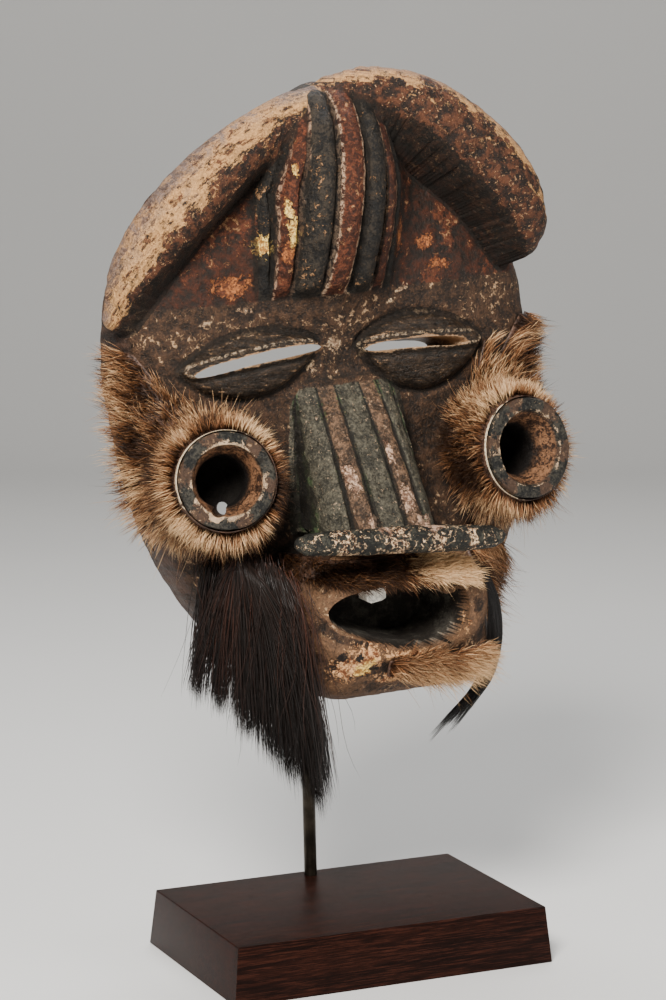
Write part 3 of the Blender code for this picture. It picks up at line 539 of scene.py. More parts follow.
def new_mesh(name, points, *face_sets):
    """A mesh object from points and sets of faces, each set an array of one face size."""
    mesh = bpy.data.meshes.new(name)
    corners = np.concatenate([faces.ravel() for faces in face_sets]).astype(np.int32)
    sizes = np.concatenate([np.full(len(faces), faces.shape[1]) for faces in face_sets])
    mesh.vertices.add(len(points))
    mesh.vertices.foreach_set("co", np.asarray(points, np.float32).ravel())
    mesh.loops.add(len(corners))
    mesh.polygons.add(len(sizes))
    mesh.polygons.foreach_set("loop_start", np.concatenate([[0], np.cumsum(sizes)[:-1]]).astype(np.int32))
    mesh.polygons.foreach_set("vertices", corners)
    mesh.update(calc_edges=True)
    thing = bpy.data.objects.new(name, mesh)
    bpy.context.scene.collection.objects.link(thing)
    return thing


def turn_faces_out(thing):
    shape = bmesh.new()
    shape.from_mesh(thing.data)
    bmesh.ops.recalc_face_normals(shape, faces=shape.faces)
    if shape.calc_volume(signed=True) < 0:
        bmesh.ops.reverse_faces(shape, faces=shape.faces)
    shape.to_mesh(thing.data)
    shape.free()
    return thing


def points_of(thing):
    flat = np.zeros(len(thing.data.vertices) * 3, np.float32)
    thing.data.vertices.foreach_get("co", flat)
    return flat.reshape(-1, 3).astype(float)


def move_points(thing, points):
    thing.data.vertices.foreach_set("co", np.asarray(points, np.float32).ravel())
    thing.data.update()


def normals_of(thing):
    flat = np.zeros(len(thing.data.vertices) * 3, np.float32)
    thing.data.vertex_normals.foreach_get("vector", flat)
    return flat.reshape(-1, 3).astype(float)


def put_field(thing, name, values):
    field = thing.data.attributes.new(name, "FLOAT", "POINT")
    field.data.foreach_set("value", np.asarray(values, np.float32))


def to_world(thing):
    """Takes a mesh from carver's parts to metres in its place."""
    thing.data.transform(mask_frame() @ Matrix.Diagonal((unit(), unit(), unit(), 1)))
    thing.data.update()
    return thing


def combine(thing, other, operation):
    boolean = thing.modifiers.new(other.name, "BOOLEAN")
    boolean.operation = operation
    boolean.solver = "MANIFOLD"
    boolean.object = other
    bpy.context.view_layer.update()
    evaluated = thing.evaluated_get(bpy.context.evaluated_depsgraph_get())
    mesh = bpy.data.meshes.new_from_object(evaluated)
    if not len(mesh.polygons):
        raise RuntimeError(f"nothing is left of {thing.name} after {other.name}")
    thing.modifiers.clear()
    thing.data = mesh
    bpy.data.objects.remove(other)


def capped_skin(name, form, columns, rows, behind=0.0):
    """The form's front as a closed body, its rim first carried back by so much if asked."""
    net = skin(form, columns, rows)
    edge = net_edge(*net.shape[:2])
    points, faces = [net.reshape(-1, 3)], [grid(*net.shape[:2])]
    count = len(points[0])
    if behind:
        ring = count + np.arange(len(edge))
        points.append(points[0][edge] + (0, behind, 0))
        faces.append(np.stack([np.roll(edge, 1), edge, ring, np.roll(ring, 1)], -1))
        edge, count = ring, count + len(ring)
    flat = np.concatenate(points)
    middle = np.full(len(edge), count)
    return turn_faces_out(new_mesh(
        name, np.concatenate([flat, [flat[edge].mean(0)]]), *faces,
        np.stack([np.roll(edge, 1), edge, middle], -1),
    ))


def turned(name, profile, frame, sides=96):
    """A turned body from its profile of (radius, height), closed on its axis."""
    profile, turn = np.array(profile, float), np.arange(sides) * 2 * pi / sides
    ring = np.stack([np.cos(turn), np.sin(turn), 0 * turn], -1)
    points = np.concatenate([ring * r + (0, 0, h) for r, h in profile])
    ends = np.array([(0, 0, profile[0, 1]), (0, 0, profile[-1, 1])])
    count, around = len(points), np.arange(sides)
    caps = [
        np.stack([around * 0 + count + k, start + around, start + np.roll(around, -1)], -1)
        for k, start in enumerate((0, count - sides))
    ]
    points = np.concatenate([points, ends])
    thing = new_mesh(name, points, grid(len(profile), sides, wrap=True), *caps)
    thing.data.transform(frame)
    return turn_faces_out(thing)


def prism(name, front_outline, front, back_outline, back):
    """A body between two outlines (x, z) of as many points, at y front and y back."""
    count = len(front_outline)
    points = [(x, front, z) for x, z in front_outline] + [(x, back, z) for x, z in back_outline]
    around = np.arange(count)
    sides = np.stack([around, np.roll(around, -1), count + np.roll(around, -1), count + around], -1)
    return turn_faces_out(new_mesh(name, points, around[None], (count + around)[None, ::-1], sides))


def slit_outline(ends, tall, steps=41):
    (x0, z0), (x1, z1) = ends
    along = np.linspace(-1, 1, steps)
    half = tall / 2 * (1 - along**4) ** 0.5
    x = (x0 + x1) / 2 + along * (x1 - x0) / 2
    z = (z0 + z1) / 2 + along * (z1 - z0) / 2 + SLIT_ARCH * (1 - along**2)
    return [*zip(x, z + half), *zip(x[-2:0:-1], z[-2:0:-1] - half[-2:0:-1])]


# The bar across the foot of the nose (x, y, z, radius), and the teeth (x, z, half width and height).
BAR = [
    (-47, -46, -86, 3.8), (-43, -47, -86.3, 5.2), (-20, -49.5, -88, 6), (10, -50, -90.5, 6.2),
    (34, -49, -93.5, 5.8), (48, -47, -95, 5.2), (52, -46.5, -95.5, 3.8),
]
TEETH = [(-6.5, -116, 5.4, 4.6), (31.5, -117.5, 3.6, 4.4)]
TOOTH_FRONT, TOOTH_BACK = -35, -26


def rounded_bar(name, beads, sides=24, flat=False):
    """A bar through beads (x, y, z, radius), with round or flat ends."""
    beads = np.asarray(beads, float)
    way = np.gradient(beads[:, :3], axis=0)
    way /= np.linalg.norm(way, axis=1)[:, None]
    if not flat:
        caps = []
        for end, sign in ((0, -1), (-1, 1)):
            turns = np.linspace(0.2, 1.35, 5) if sign > 0 else np.linspace(1.35, 0.2, 5)
            cap = np.repeat(beads[end][None], 5, 0)
            cap[:, :3] += sign * way[end] * beads[end, 3] * np.sin(turns)[:, None]
            cap[:, 3] *= np.cos(turns)
            caps.append(cap)
        beads = np.concatenate([caps[0], beads, caps[1]])
        way = np.concatenate([np.repeat(way[:1], 5, 0), way, np.repeat(way[-1:], 5, 0)])
    side = np.cross(way, (0.97, 0.21, 0.13) if abs(way[0, 2]) > 0.5 else (0.13, 0.21, 0.97))
    side /= np.linalg.norm(side, axis=1)[:, None]
    other = np.cross(way, side)
    turn = np.arange(sides) * 2 * pi / sides
    across = np.cos(turn)[:, None] * side[:, None] + np.sin(turn)[:, None] * other[:, None]
    points = (beads[:, None, :3] + beads[:, None, 3:] * across).reshape(-1, 3)
    last = len(points) - sides + np.arange(sides)
    return turn_faces_out(new_mesh(
        name, points, grid(len(beads), sides, wrap=True), np.arange(sides)[None, ::-1], last[None]
    ))


# Cheek tubes: the middle of the rim (x, y, z), and how far the axis turns out and up.
TUBES = {
    "left": ((-75, -31, -55), radians(-10), radians(10)),
    "right": ((80, -31, -59), radians(11), radians(8)),
}
# The split that opens the foot of the left tube's mouth to the hollow: offset (x, z) from the
# middle of the rim, the way it runs, and its diameter.
CHEEK_HOLE = ((-5.5, -13.0), (0.41, 0.90, -0.155), 6.2)
RIM_ROUNDING = 1.3
LACING_HEIGHTS = (-72, -93)
LACING_INSET = 8.9


def tube_radius(side):
    s = carving_settings()
    return parts(s.tube_left if side == "left" else s.tube_right) / 2


def tube_mouth(side):
    s = carving_settings()
    return parts(s.tube_mouth_left if side == "left" else s.tube_mouth_right) / 2


def tube_frame(side):
    """Along the tube: +Z comes out of its mouth, and the origin is the middle of its rim."""
    place, turn, rise = TUBES[side]
    out = Vector((sin(turn) * cos(rise), -cos(turn) * cos(rise), sin(rise)))
    return Matrix.Translation(Vector(place)) @ out.to_track_quat("Z", "Y").to_matrix().to_4x4()


def tube_places(side, points):
    """Points in a tube's own frame: distance from its axis, height along it and turn round it."""
    frame_in = np.array(tube_frame(side).inverted())
    local = points @ frame_in[:3, :3].T + frame_in[:3, 3]
    return np.hypot(local[:, 0], local[:, 1]), local[:, 2], np.arctan2(local[:, 1], local[:, 0])


def steps_between(start, stop, stride):
    return np.linspace(start, stop, max(2, int(abs(stop - start) / stride) + 1))


def add_tubes(thing):
    s = carving_settings()
    for side in TUBES:
        radius = tube_radius(side)
        profile = [(radius, h) for h in steps_between(-parts(s.tube_length), -RIM_ROUNDING, 1.6)]
        turns = np.linspace(0.3, pi / 2, 5)
        profile += [
            (radius - RIM_ROUNDING * (1 - cos(t)), -RIM_ROUNDING * (1 - sin(t))) for t in turns
        ]
        profile += [(radius * share, 0) for share in (0.88, 0.80, 0.72)]
        combine(thing, turned("tube_" + side, profile, tube_frame(side)), "UNION")


def fill_tube_floors(thing):
    s = carving_settings()
    radius, floor = parts(s.bore + s.wall) / 2, parts(s.bore_depth + s.wall / 2)
    for side in TUBES:
        profile = [(radius, -floor), (radius, -parts(s.funnel_depth))]
        combine(thing, turned("floor_" + side, profile, tube_frame(side)), "UNION")


def bore_tubes(thing):
    s = carving_settings()
    bore, deep, funnel = parts(s.bore) / 2, parts(s.bore_depth), parts(s.funnel_depth)
    for side in TUBES:
        mouth = tube_mouth(side)
        profile = [(bore * 0.6, -deep), (bore, -deep + bore * 0.5)]
        profile += [(bore, h) for h in steps_between(-deep + bore * 0.5, -funnel, 1.6)[1:-1]]
        for share in np.linspace(0, 1, 12):
            profile.append((bore + (mouth - bore) * share**1.35, -funnel * (1 - share)))
        profile.append((mouth + 1.2, 1.0))
        combine(thing, turned("bore_" + side, profile, tube_frame(side)), "DIFFERENCE")
    (dx, dz), way, wide = CHEEK_HOLE
    x, y, z = TUBES["left"][0]
    place = Matrix.Translation((x + dx, y, z + dz)) @ Vector(way).to_track_quat("Z", "Y").to_matrix().to_4x4()
    profile = [(wide / 2, -1.5 * wide), (wide / 2, 1.6 * parts(s.tube_length))]
    combine(thing, turned("split", profile, place, 20), "DIFFERENCE")


def drill_lacing_holes(thing):
    radius, reach = parts(carving_settings().lacing_hole) / 2, 28
    for side in (-1, 1):
        for height in LACING_HEIGHTS:
            x = side * (EGG_HALF_WIDTH + EGG_TAPER * (height - EGG_MIDDLE)) * 0.9
            place = Matrix.Translation((x, rim_back(height) - LACING_INSET, height))
            place = place @ Matrix.Rotation(side * pi / 2, 4, "Y") @ Matrix.Diagonal((1.45, 0.85, 1, 1))
            combine(thing, turned("lacing", [(radius, -reach), (radius, reach)], place, 24), "DIFFERENCE")


def smooth_outline(points, count=72):
    """A closed outline (x, z) read from a smooth curve through the given points."""
    wrapped = np.array([*points[-2:], *points, *points[:3]], float)
    return [tuple(p) for p in through(wrapped, np.linspace(2, 2 + len(points), count + 1)[:-1])]


def cut_mouth(thing):
    rim = smooth_outline(MOUTH)
    (cx, cz), shrink = MOUTH_FLOOR, MOUTH_FLOOR_SHARE
    floor = [(cx + (x - cx) * shrink, cz + (z - cz) * shrink) for x, z in rim]
    wide = [(x + (x - cx) * 0.2, z + (z - cz) * 0.2) for x, z in rim]
    combine(thing, prism("mouth", wide, -56, floor, MOUTH_FLOOR_BACK), "DIFFERENCE")
    for x, z, half, tall in TEETH:
        corners = [(-1, 1), (-0.9, -0.75), (-0.5, -1), (0.55, -0.92), (0.92, -0.7), (1, 1)]
        shape = [(x + a * half, z + b * tall) for a, b in corners]
        combine(thing, prism("tooth", shape, TOOTH_FRONT, shape, TOOTH_BACK), "UNION")


def grain(points, scale, octaves=4, seed=0.0):
    """Soft noise about zero at each point."""
    shift = Vector((seed, 2 * seed, -seed))
    return np.array([noise.fractal(Vector(p) * scale + shift, 0.9, 2.0, octaves) for p in points])


def adze_marks(points):
    """Shallow scoops left by the adze in the hollow."""
    found = [noise.voronoi(Vector((p[0], p[1] * 0.6, p[2] * 0.7)) / 11)[0][0] for p in points]
    return np.array(found)


def weather(thing):
    """Knife marks, worn corners and lumps of crust on the carving, adze marks in the hollow."""
    points, normals = points_of(thing), normals_of(thing)
    inner = inside_hollow(points)
    rough = 0.30 * grain(points, 0.16, 5) + 0.12 * grain(points, 0.5, 3, 7.0)
    cut = 0.42 * grain(points * (0.35, 0.5, 1.0), 0.11, 2, 3.0)
    raised = (rough + cut) * (1 - inner) + inner * 0.9 * (adze_marks(points) - 0.5)
    move_points(thing, points + normals * raised[:, None])


def inside_hollow(points):
    x, y, z = points.T
    deep = hollow(x, y, z)
    return smooth_step(-np.abs(deep), -2.5, -1.2) * (y > -8)


def curvature(thing):
    """Above zero on ridges and corners, below zero in grooves, smoothed over a few points."""
    points, normals = points_of(thing), normals_of(thing)
    edges = np.zeros(len(thing.data.edges) * 2, np.int32)
    thing.data.edges.foreach_get("vertices", edges)
    a, b = edges.reshape(-1, 2).T
    near = np.bincount(a, minlength=len(points)) + np.bincount(b, minlength=len(points)) + 1e-9

    def average(values):
        total = np.bincount(a, values[b], len(points)) + np.bincount(b, values[a], len(points))
        return total / near

    middle = np.stack([average(points[:, k]) for k in range(3)], -1)
    bent = np.sum((points - middle) * normals, -1)
    for _ in range(3):
        bent = 0.4 * bent + 0.6 * average(bent)
    return bent / 0.12


# Patches of bare ground, chips and paint: middle (x, z), half width, half height, lean.
PATCHES = {
    "pink_worn": [
        (-12.5, -62, 4.6, 13, 0.10), (12, -74, 7, 12, -0.3), (10, -54, 3, 12, 0.05),
        (17, -84, 8, 6, 0.0), (-8, -82, 5, 7, 0.2),
    ],
    "yellow_worn": [
        (-27, 52, 4.2, 13, 0.08), (-38, 46, 6, 8, 0.2), (-16, -150, 10, 5.5, 0.55),
        (-29, 62, 2.4, 9, 0.1), (-25, 80, 2, 7, 0.1),
    ],
    "orange_worn": [
        (-53, 28, 14, 8, 0.1), (47, 40, 7, 5, 0.2), (54, 29, 9, 4, 0.0), (-19, -147, 20, 11, 0.30),
        (35, -130, 6, 13, 0.1), (2, -157, 20, 4.5, 0.0), (-29, 43, 6, 9, 0), (31, 45, 5, 14, 0),
        (4, -146, 30, 2.6, -0.12),
    ],
    "white_worn": [
        (41, 78, 7, 4, 0.4), (52, 73, 7, 3.5, 0.5), (33, 19, 11, 3.4, 0.3), (27, 14, 7, 4, 0),
        (-46, 17, 10, 3.6, 0), (-66, 13, 11, 3.4, 0.2), (-5, 20, 12, 3.4, 0), (-4, -3, 10, 12, 0),
        (10, -9, 5, 8, -0.5), (-16, -12, 7, 8, 0.6), (-48, 6, 22, 2.6, 0.1), (44, 7, 20, 2.6, -0.1),
    ],
    "black_spots": [(-27, -143, 3.6, 3.4, 0), (-19.5, -144.5, 3.2, 3.6, 0), (-10, -152, 2.4, 2.2, 0)],
}
# Stretches of the bar where its paint is chipped more: middle and half width.
BAR_CHIPS = [(-28, 6.5), (-3, 7), (18, 5.5), (36, 3)]
# What the field tube_away holds where no tube is near.
FAR_FROM_TUBES = 90.0


def patch_field(x, z, patches):
    nearest = np.full(np.shape(x), 9.0)
    for cx, cz, half, tall, lean in patches:
        dx, dz = x - cx, z - cz
        along, up = dx * cos(lean) + dz * sin(lean), dz * cos(lean) - dx * sin(lean)
        nearest = np.minimum(nearest, np.hypot(along / half, up / tall))
    return np.clip(1.5 - nearest, 0, 1.5) / 1.5


def roll_fields(points):
    """Along the nearer roll, across it from the crease (-1) to the outer side (1), and how pale it is drawn,
    part rubbing and part painted light.
    """
    along, across, pale = np.zeros((3, len(points)))
    best = np.full(len(points), 1e9)
    middle = np.array((0.0, 0.0, EGG_MIDDLE))
    # Painted light on top of the rubbing: the left roll, turned to the light, is drawn paler than the right,
    # whose paleness fades towards the temple.
    for beads, tone in ((ROLL_LEFT, (1.0, 0.95)), (ROLL_RIGHT, (0.62, 0.12))):
        for i, (a, b) in enumerate(zip(beads, beads[1:])):
            step = b[:3] - a[:3]
            share = np.clip((points - a[:3]) @ step / (step @ step), 0, 1)
            centre = a[:3] + share[:, None] * step
            radius = a[3] + share * (b[3] - a[3])
            gap, out = points - centre, (centre - middle) * (1, 0, 1)
            away = np.linalg.norm(gap, axis=1) - radius
            side = np.sum(gap * unit_rows(out), -1) / radius
            nearer = away < best
            reach = (i + share) / (len(beads) - 1)
            along[nearer] = ROLL_LENGTH * reach[nearer]
            across[nearer] = side[nearer]
            pale[nearer] = tone[0] + (tone[1] - tone[0]) * reach[nearer] ** 1.5
            best = np.minimum(best, away)
    return along, np.clip(across, -1.5, 1.5), pale


def paint_fields(thing):
    """Where each part of the carving's paint lies, as numbers on the mesh's points."""
    points = points_of(thing)
    x, y, z = points.T
    inner = inside_hollow(points)
    outer = 1 - inner
    on_roll = smooth_step(-rolls(x, y, z), -2.2, -0.6) * outer
    along, across, pale = roll_fields(points)
    mounds = sum(eye_mound(x, z, eye) for eye in EYES.values())
    fields = {
        "inner": inner,
        "nose_across": nose_share(x, z),
        "on_nose": smooth_step(-nose(x, y, z), -2.4, -0.8) * smooth_step(-z, 18, 26) * outer,
        "rib_number": rib_number(x, z),
        "on_forehead": smooth_step(z, 17, 24) * (1 - on_roll) * smooth_step(-y, -26, -14) * outer,
        "on_roll": on_roll,
        "roll_along": along,
        "roll_across": across,
        "roll_pale": pale,
        "on_eye": np.clip(mounds / 5, 0, 1) * smooth_step(-y, -20, -10),
        "slit_edge": np.minimum(*[slit_distance(x, z, slit) for slit in SLITS.values()]),
        "nasion": np.exp(-((x + 2) / 22) ** 2 - ((z + 4) / 17) ** 2),
        "flank": smooth_step(y, 14, 24) * (1 - on_roll) * outer,
        "curve": curvature(thing),
        "mouth_deep": mouth_depth(x, y, z),
        "on_tooth": on_first_tooth(x, y, z),
        "bar_chips": sum(np.exp(-((x - middle) / wide) ** 2) for middle, wide in BAR_CHIPS),
        "on_bar": smooth_step(-chain(x, y, z, through(BAR, 14)), -1.4, -0.5),
    }
    tube_away, tube_along, tube_turn = np.zeros((3, len(points)))
    tube_away += FAR_FROM_TUBES
    for side in TUBES:
        away, height, turn = tube_places(side, points)
        share = away / tube_radius(side)
        nearer = (share < tube_away) & (height > -40) & (height < 3)
        for field, values in ((tube_away, share), (tube_along, height), (tube_turn, turn)):
            field[nearer] = values[nearer]
    fields.update(tube_away=tube_away, tube_along=tube_along, tube_turn=tube_turn)
    for name, patches in PATCHES.items():
        fields[name] = patch_field(x, z, patches) * (y < 8)
    for name, values in fields.items():
        put_field(thing, name, values)


def on_first_tooth(x, y, z):
    """The one tooth that is still white."""
    cx, cz, half, tall = TEETH[0]
    level = (y < TOOTH_BACK + 3) & (y > TOOTH_FRONT - 0.6)
    return (np.abs(x - cx) < half + 0.3) & (np.abs(z - cz) < tall + 0.6) & level


def mouth_depth(x, y, z):
    """0 outside the mouth, rising to 1 at its floor."""
    (cx, cz), half, tall = LIP
    within = smooth_step(-np.hypot((x - cx) / half, (z - cz) / tall), -1.12, -0.95)
    return within * smooth_step(y, -38, MOUTH_FLOOR_BACK - 4)


def carve_mask():
    thing = capped_skin("mask_carving", carving, *FACE_NET)
    add_tubes(thing)
    combine(thing, rounded_bar("bar", through(BAR, 60)), "UNION")
    combine(thing, capped_skin("scoop", hollow, *HOLLOW_NET, parts(carving_settings().wall)), "DIFFERENCE")
    fill_tube_floors(thing)
    bore_tubes(thing)
    for name, (front, back, tall, tall_back) in SLITS.items():
        cutter = prism("slit_" + name, slit_outline(front, tall), -12, slit_outline(back, tall_back), 18)
        combine(thing, cutter, "DIFFERENCE")
    cut_mouth(thing)
    drill_lacing_holes(thing)
    weather(thing)
    paint_fields(thing)
    to_world(thing)
    thing.data.shade_smooth()
    thing.data.set_sharp_from_angle(angle=radians(48))
    return thing


def scatter(net, wrap, count, chance, weight=None):
    """Points spread evenly over a net: places, outward normals, share down the rows and across."""
    rows, columns = net.shape[:2]
    quads = grid(rows, columns, wrap=wrap)
    flat = net.reshape(-1, 3)
    a, b, c, d = (flat[quads[:, k]] for k in range(4))
    normal = np.cross(c - a, d - b)
    area = np.linalg.norm(normal, axis=1)
    normal /= area[:, None] + 1e-9
    if weight is not None:
        area = area * weight.reshape(-1)[quads[:, 0]]
    pick = chance.choice(len(quads), count, p=area / area.sum())
    u, v = chance.random((2, count, 1))
    place = (a[pick] * (1 - u) + b[pick] * u) * (1 - v) + (d[pick] * (1 - u) + c[pick] * u) * v
    outward = np.mean(normal[:, 1]) < 0
    return place, normal[pick] * (1 if outward else -1), (quads[pick, 0] // columns + v[:, 0]) / (rows - 1)


def unit_rows(vectors):
    return vectors / (np.linalg.norm(vectors, axis=-1, keepdims=True) + 1e-9)


def gather(paths, every, strength, chance):
    """Draws the hairs' tips together in tufts, one for about so many hairs."""
    roots = paths[:, 0]
    leaders = chance.choice(len(roots), max(1, len(roots) // every), replace=False)
    tree = kdtree.KDTree(len(leaders))
    for i, leader in enumerate(leaders):
        tree.insert(roots[leader], i)
    tree.balance()
    mine = leaders[[tree.find(root)[1] for root in roots]]
    share = np.linspace(0, 1, paths.shape[1])[None, :, None]
    pull = strength * chance.uniform(0.35, 1, (len(roots), 1, 1)) * share**1.3
    gap = (paths[mine] - paths) + 0.25 * (roots - roots[mine])[:, None]
    return paths + pull * gap


def hair_mesh(name, paths, widths, fields):
    """Closed three-sided hairs along paths (hair, point, xyz), each thinning to its tip."""
    hairs, count = paths.shape[:2]
    way = unit_rows(np.gradient(paths, axis=1))
    side = unit_rows(np.cross(way, np.array((0.31, 0.87, 0.38))))
    other = np.cross(way, side)
    share = np.linspace(0, 1, count)
    thick = widths[:, None] / 2 * (1 - 0.7 * share**2)
    turn = np.arange(3) * 2 * pi / 3
    across = np.cos(turn)[:, None] * side[:, :-1, None] + np.sin(turn)[:, None] * other[:, :-1, None]
    rings = paths[:, :-1, None] + thick[:, :-1, None, None] * across
    points = np.concatenate([rings.reshape(hairs, -1, 3), paths[:, -1:]], axis=1)
    each = points.shape[1]
    near, k = np.arange(3 * (count - 2)), np.arange(3)
    after = near - near % 3 + (near + 1) % 3
    quads = np.stack([near, after, after + 3, near + 3], -1)
    last = 3 * (count - 2)
    ends = np.stack([last + k, last + (k + 1) % 3, 0 * k + each - 1], -1)
    ends = np.concatenate([ends, [(2, 1, 0)]])
    shift = (np.arange(hairs) * each)[:, None, None]
    thing = new_mesh(
        name, points.reshape(-1, 3), (quads + shift).reshape(-1, 4), (ends + shift).reshape(-1, 3)
    )
    reach = np.append(np.repeat(share[:-1], 3), 1.0)
    put_field(thing, "reach", np.tile(reach, hairs))
    for field, values in fields.items():
        put_field(thing, field, np.repeat(values, each))
    to_world(thing)
    thing.data.shade_smooth()
    return thing


FUR_POINTS = 4
# Share of guard hairs, which stand out of the fur, and how much longer they are.
GUARD_SHARE = 0.07
GUARD_LENGTH = 1.45


def grow_fur(name, roots, normals, comb, long, chance, fields, lift=0.45, ruffle=0.30, droop=0.10, tuft=11):
    """Short hair that leans along comb and stands off the hide, drawn together in tufts."""
    s = bpy.context.scene.mask_fur
    count = len(roots)
    clump = 0.5 * np.stack([grain(roots, 0.13, 2, seed) for seed in (11.0, 17.0, 23.0)], -1)
    way = unit_rows(unit_rows(comb) + clump + lift * normals + chance.normal(0, ruffle, (count, 3)))
    guard = chance.random(count) < GUARD_SHARE
    way = unit_rows(way + guard[:, None] * (0.4 * normals + chance.normal(0, 0.3, (count, 3))))
    swing = unit_rows(chance.normal(0, 1, (count, 3))) * chance.uniform(0, 0.30, (count, 1))
    share = np.linspace(0, 1, FUR_POINTS)[None, :, None]
    reach = (long * (1 + (GUARD_LENGTH - 1) * guard))[:, None, None]
    paths = roots[:, None] + reach * (
        way[:, None] * share + (swing[:, None] + np.array((0, 0, -droop))) * share**2
    )
    paths = np.where(guard[:, None, None], paths, gather(paths, tuft, 0.52, chance))
    widths = parts(s.hair_width) * chance.uniform(0.6, 1.1, count) * (1 - 0.35 * guard)
    return hair_mesh(name, paths, widths, fields)


# Hides round the cheek tubes: points (x, y, z) on each hide's outer edge, all the way round.
HIDE_ROOT = 51
COLLAR_SET_BACK = 3.6
# Where round each tube the hide's pale cut edge shows: 0 is left, a quarter turn is down.
PALE_CUT = {"left": radians(-50), "right": radians(10)}
HIDE_LIFT = 0.5
HIDE_THICKNESS = 2.4
HIDE_EDGES = {
    "left": [
        (-45, 0, -56), (-49, 0, -42), (-59, 0, -32), (-75, 0, -23), (-88, 3, -13), (-98, 6, 2),
        (-106, 14, 15), (-110, 26, 14), (-108, 32, -5), (-106, 33, -30), (-101, 32, -58),
        (-94, 27, -78), (-80, 6, -85), (-62, 0, -86), (-50, 0, -80), (-46, 0, -68),
    ],
    "right": [
        (113, 32, -45), (114, 32, -18), (112, 27, -2), (108, 14, 10), (102, 5, 17), (92, -2, 22),
        (81, 0, 20), (84, 0, 5), (85, 0, -12), (80, 0, -27), (67, 0, -36), (56, 0, -44),
        (52, 0, -57), (55, 0, -68), (65, 0, -78), (76, 0, -86), (90, 6, -91), (104, 24, -82),
    ],
}


def tube_form(side, x, y, z):
    """Distance to a cheek tube."""
    away, height, _ = tube_places(side, np.stack([x, y, z], -1))
    radial, ends = away - tube_radius(side), np.maximum(height, -height - 60)
    outside = np.hypot(np.maximum(radial, 0), np.maximum(ends, 0))
    return outside + np.minimum(np.maximum(radial, ends), 0)


def hide_rays(side, angle, share):
    """Rays through a cheek hide: share 0 at its collar round the tube, 1 at its outer edge."""
    place = tube_frame(side)
    out = np.array(place.col[2][:3])
    root = np.array(place.translation) - HIDE_ROOT * out
    right = unit_rows(np.cross((0, 0, 1.0), -out))
    up = np.cross(right, -out)
    edge = np.array(HIDE_EDGES[side], float) - root
    turns = np.arctan2(edge @ up, edge @ right) % (2 * pi)
    leans = np.arctan2(np.hypot(edge @ up, edge @ right), edge @ out)
    order = np.argsort(turns)
    last = np.interp(angle % (2 * pi), turns[order], leans[order], period=2 * pi)
    first = np.arctan2(tube_radius(side), HIDE_ROOT - COLLAR_SET_BACK)
    lean = first + (last - first) * share
    across = [np.cos(angle) * r + np.sin(angle) * u for r, u in zip(right, up)]
    way = [np.cos(lean) * o + np.sin(lean) * a for o, a in zip(out, across)]
    return root, way


def hide_layer(form, start, way, height):
    return meet(lambda x, y, z: form(x, y, z) - height, start, way, 110, 2, 90, True)


def make_cheek_hide(side, around=120, across=34):
    """The hide itself, a thin slab with a pale cut edge, and the net that its hair stands on."""
    chance = np.random.default_rng(5 if side == "left" else 6)
    angle = np.arange(around) * 2 * pi / around
    ragged = 1 + 0.025 * np.sin(5 * angle + 1) + 0.02 * np.sin(13 * angle)
    ragged = ragged + 0.012 * chance.normal(0, 1, around)
    angle, share = np.meshgrid(angle, np.linspace(0, 1, across) ** 1.3)
    start, way = hide_rays(side, angle, share * (1 + (ragged - 1) * share))

    def form(x, y, z):
        return smooth_union(carving(x, y, z), tube_form(side, x, y, z), 6)

    thickness = HIDE_THICKNESS * (0.30 + 0.70 * smooth_step(share, 0, 0.16)).ravel()
    inner = hide_layer(form, start, way, HIDE_LIFT)
    outer = inner + unit_rows(hide_layer(form, start, way, 4.0) - inner) * thickness.reshape(*share.shape, 1)
    count = inner.shape[0] * inner.shape[1]
    rows, columns = inner.shape[:2]
    rims = []
    for row, flip in ((0, False), (rows - 1, True)):
        a = row * columns + np.arange(columns)
        b = np.roll(a, -1)
        face = np.stack([a, b, count + b, count + a], -1)
        rims.append(face if flip else face[:, ::-1])
    points = np.concatenate([inner.reshape(-1, 3), outer.reshape(-1, 3)])
    thing = new_mesh(
        "hide_" + side, points, grid(rows, columns, wrap=True),
        grid(rows, columns, count, wrap=True, flip=True), *rims,
    )
    put_field(thing, "collar", np.tile(share.ravel(), 2))
    put_field(thing, "cut_pale", np.tile(np.cos(angle - PALE_CUT[side]).ravel(), 2))
    to_world(turn_faces_out(thing))
    thing.data.shade_smooth()
    return thing, outer, share


def fur_direction(side, roots):
    """Away from the tube, and down and outwards over the upper cheek."""
    place = tube_frame(side)
    out = np.array(place.col[2][:3])
    gap = roots - np.array(place.translation)
    radial = unit_rows(gap - (gap @ out)[:, None] * out)
    high = smooth_step(roots[:, 2], -30, 5)[:, None]
    fall = np.array((0.55 if side == "right" else -0.75, 0.1, -0.75 if side == "right" else 0.25))
    return unit_rows(radial * (1 - 0.8 * high) + fall * high + 0.18 * out)


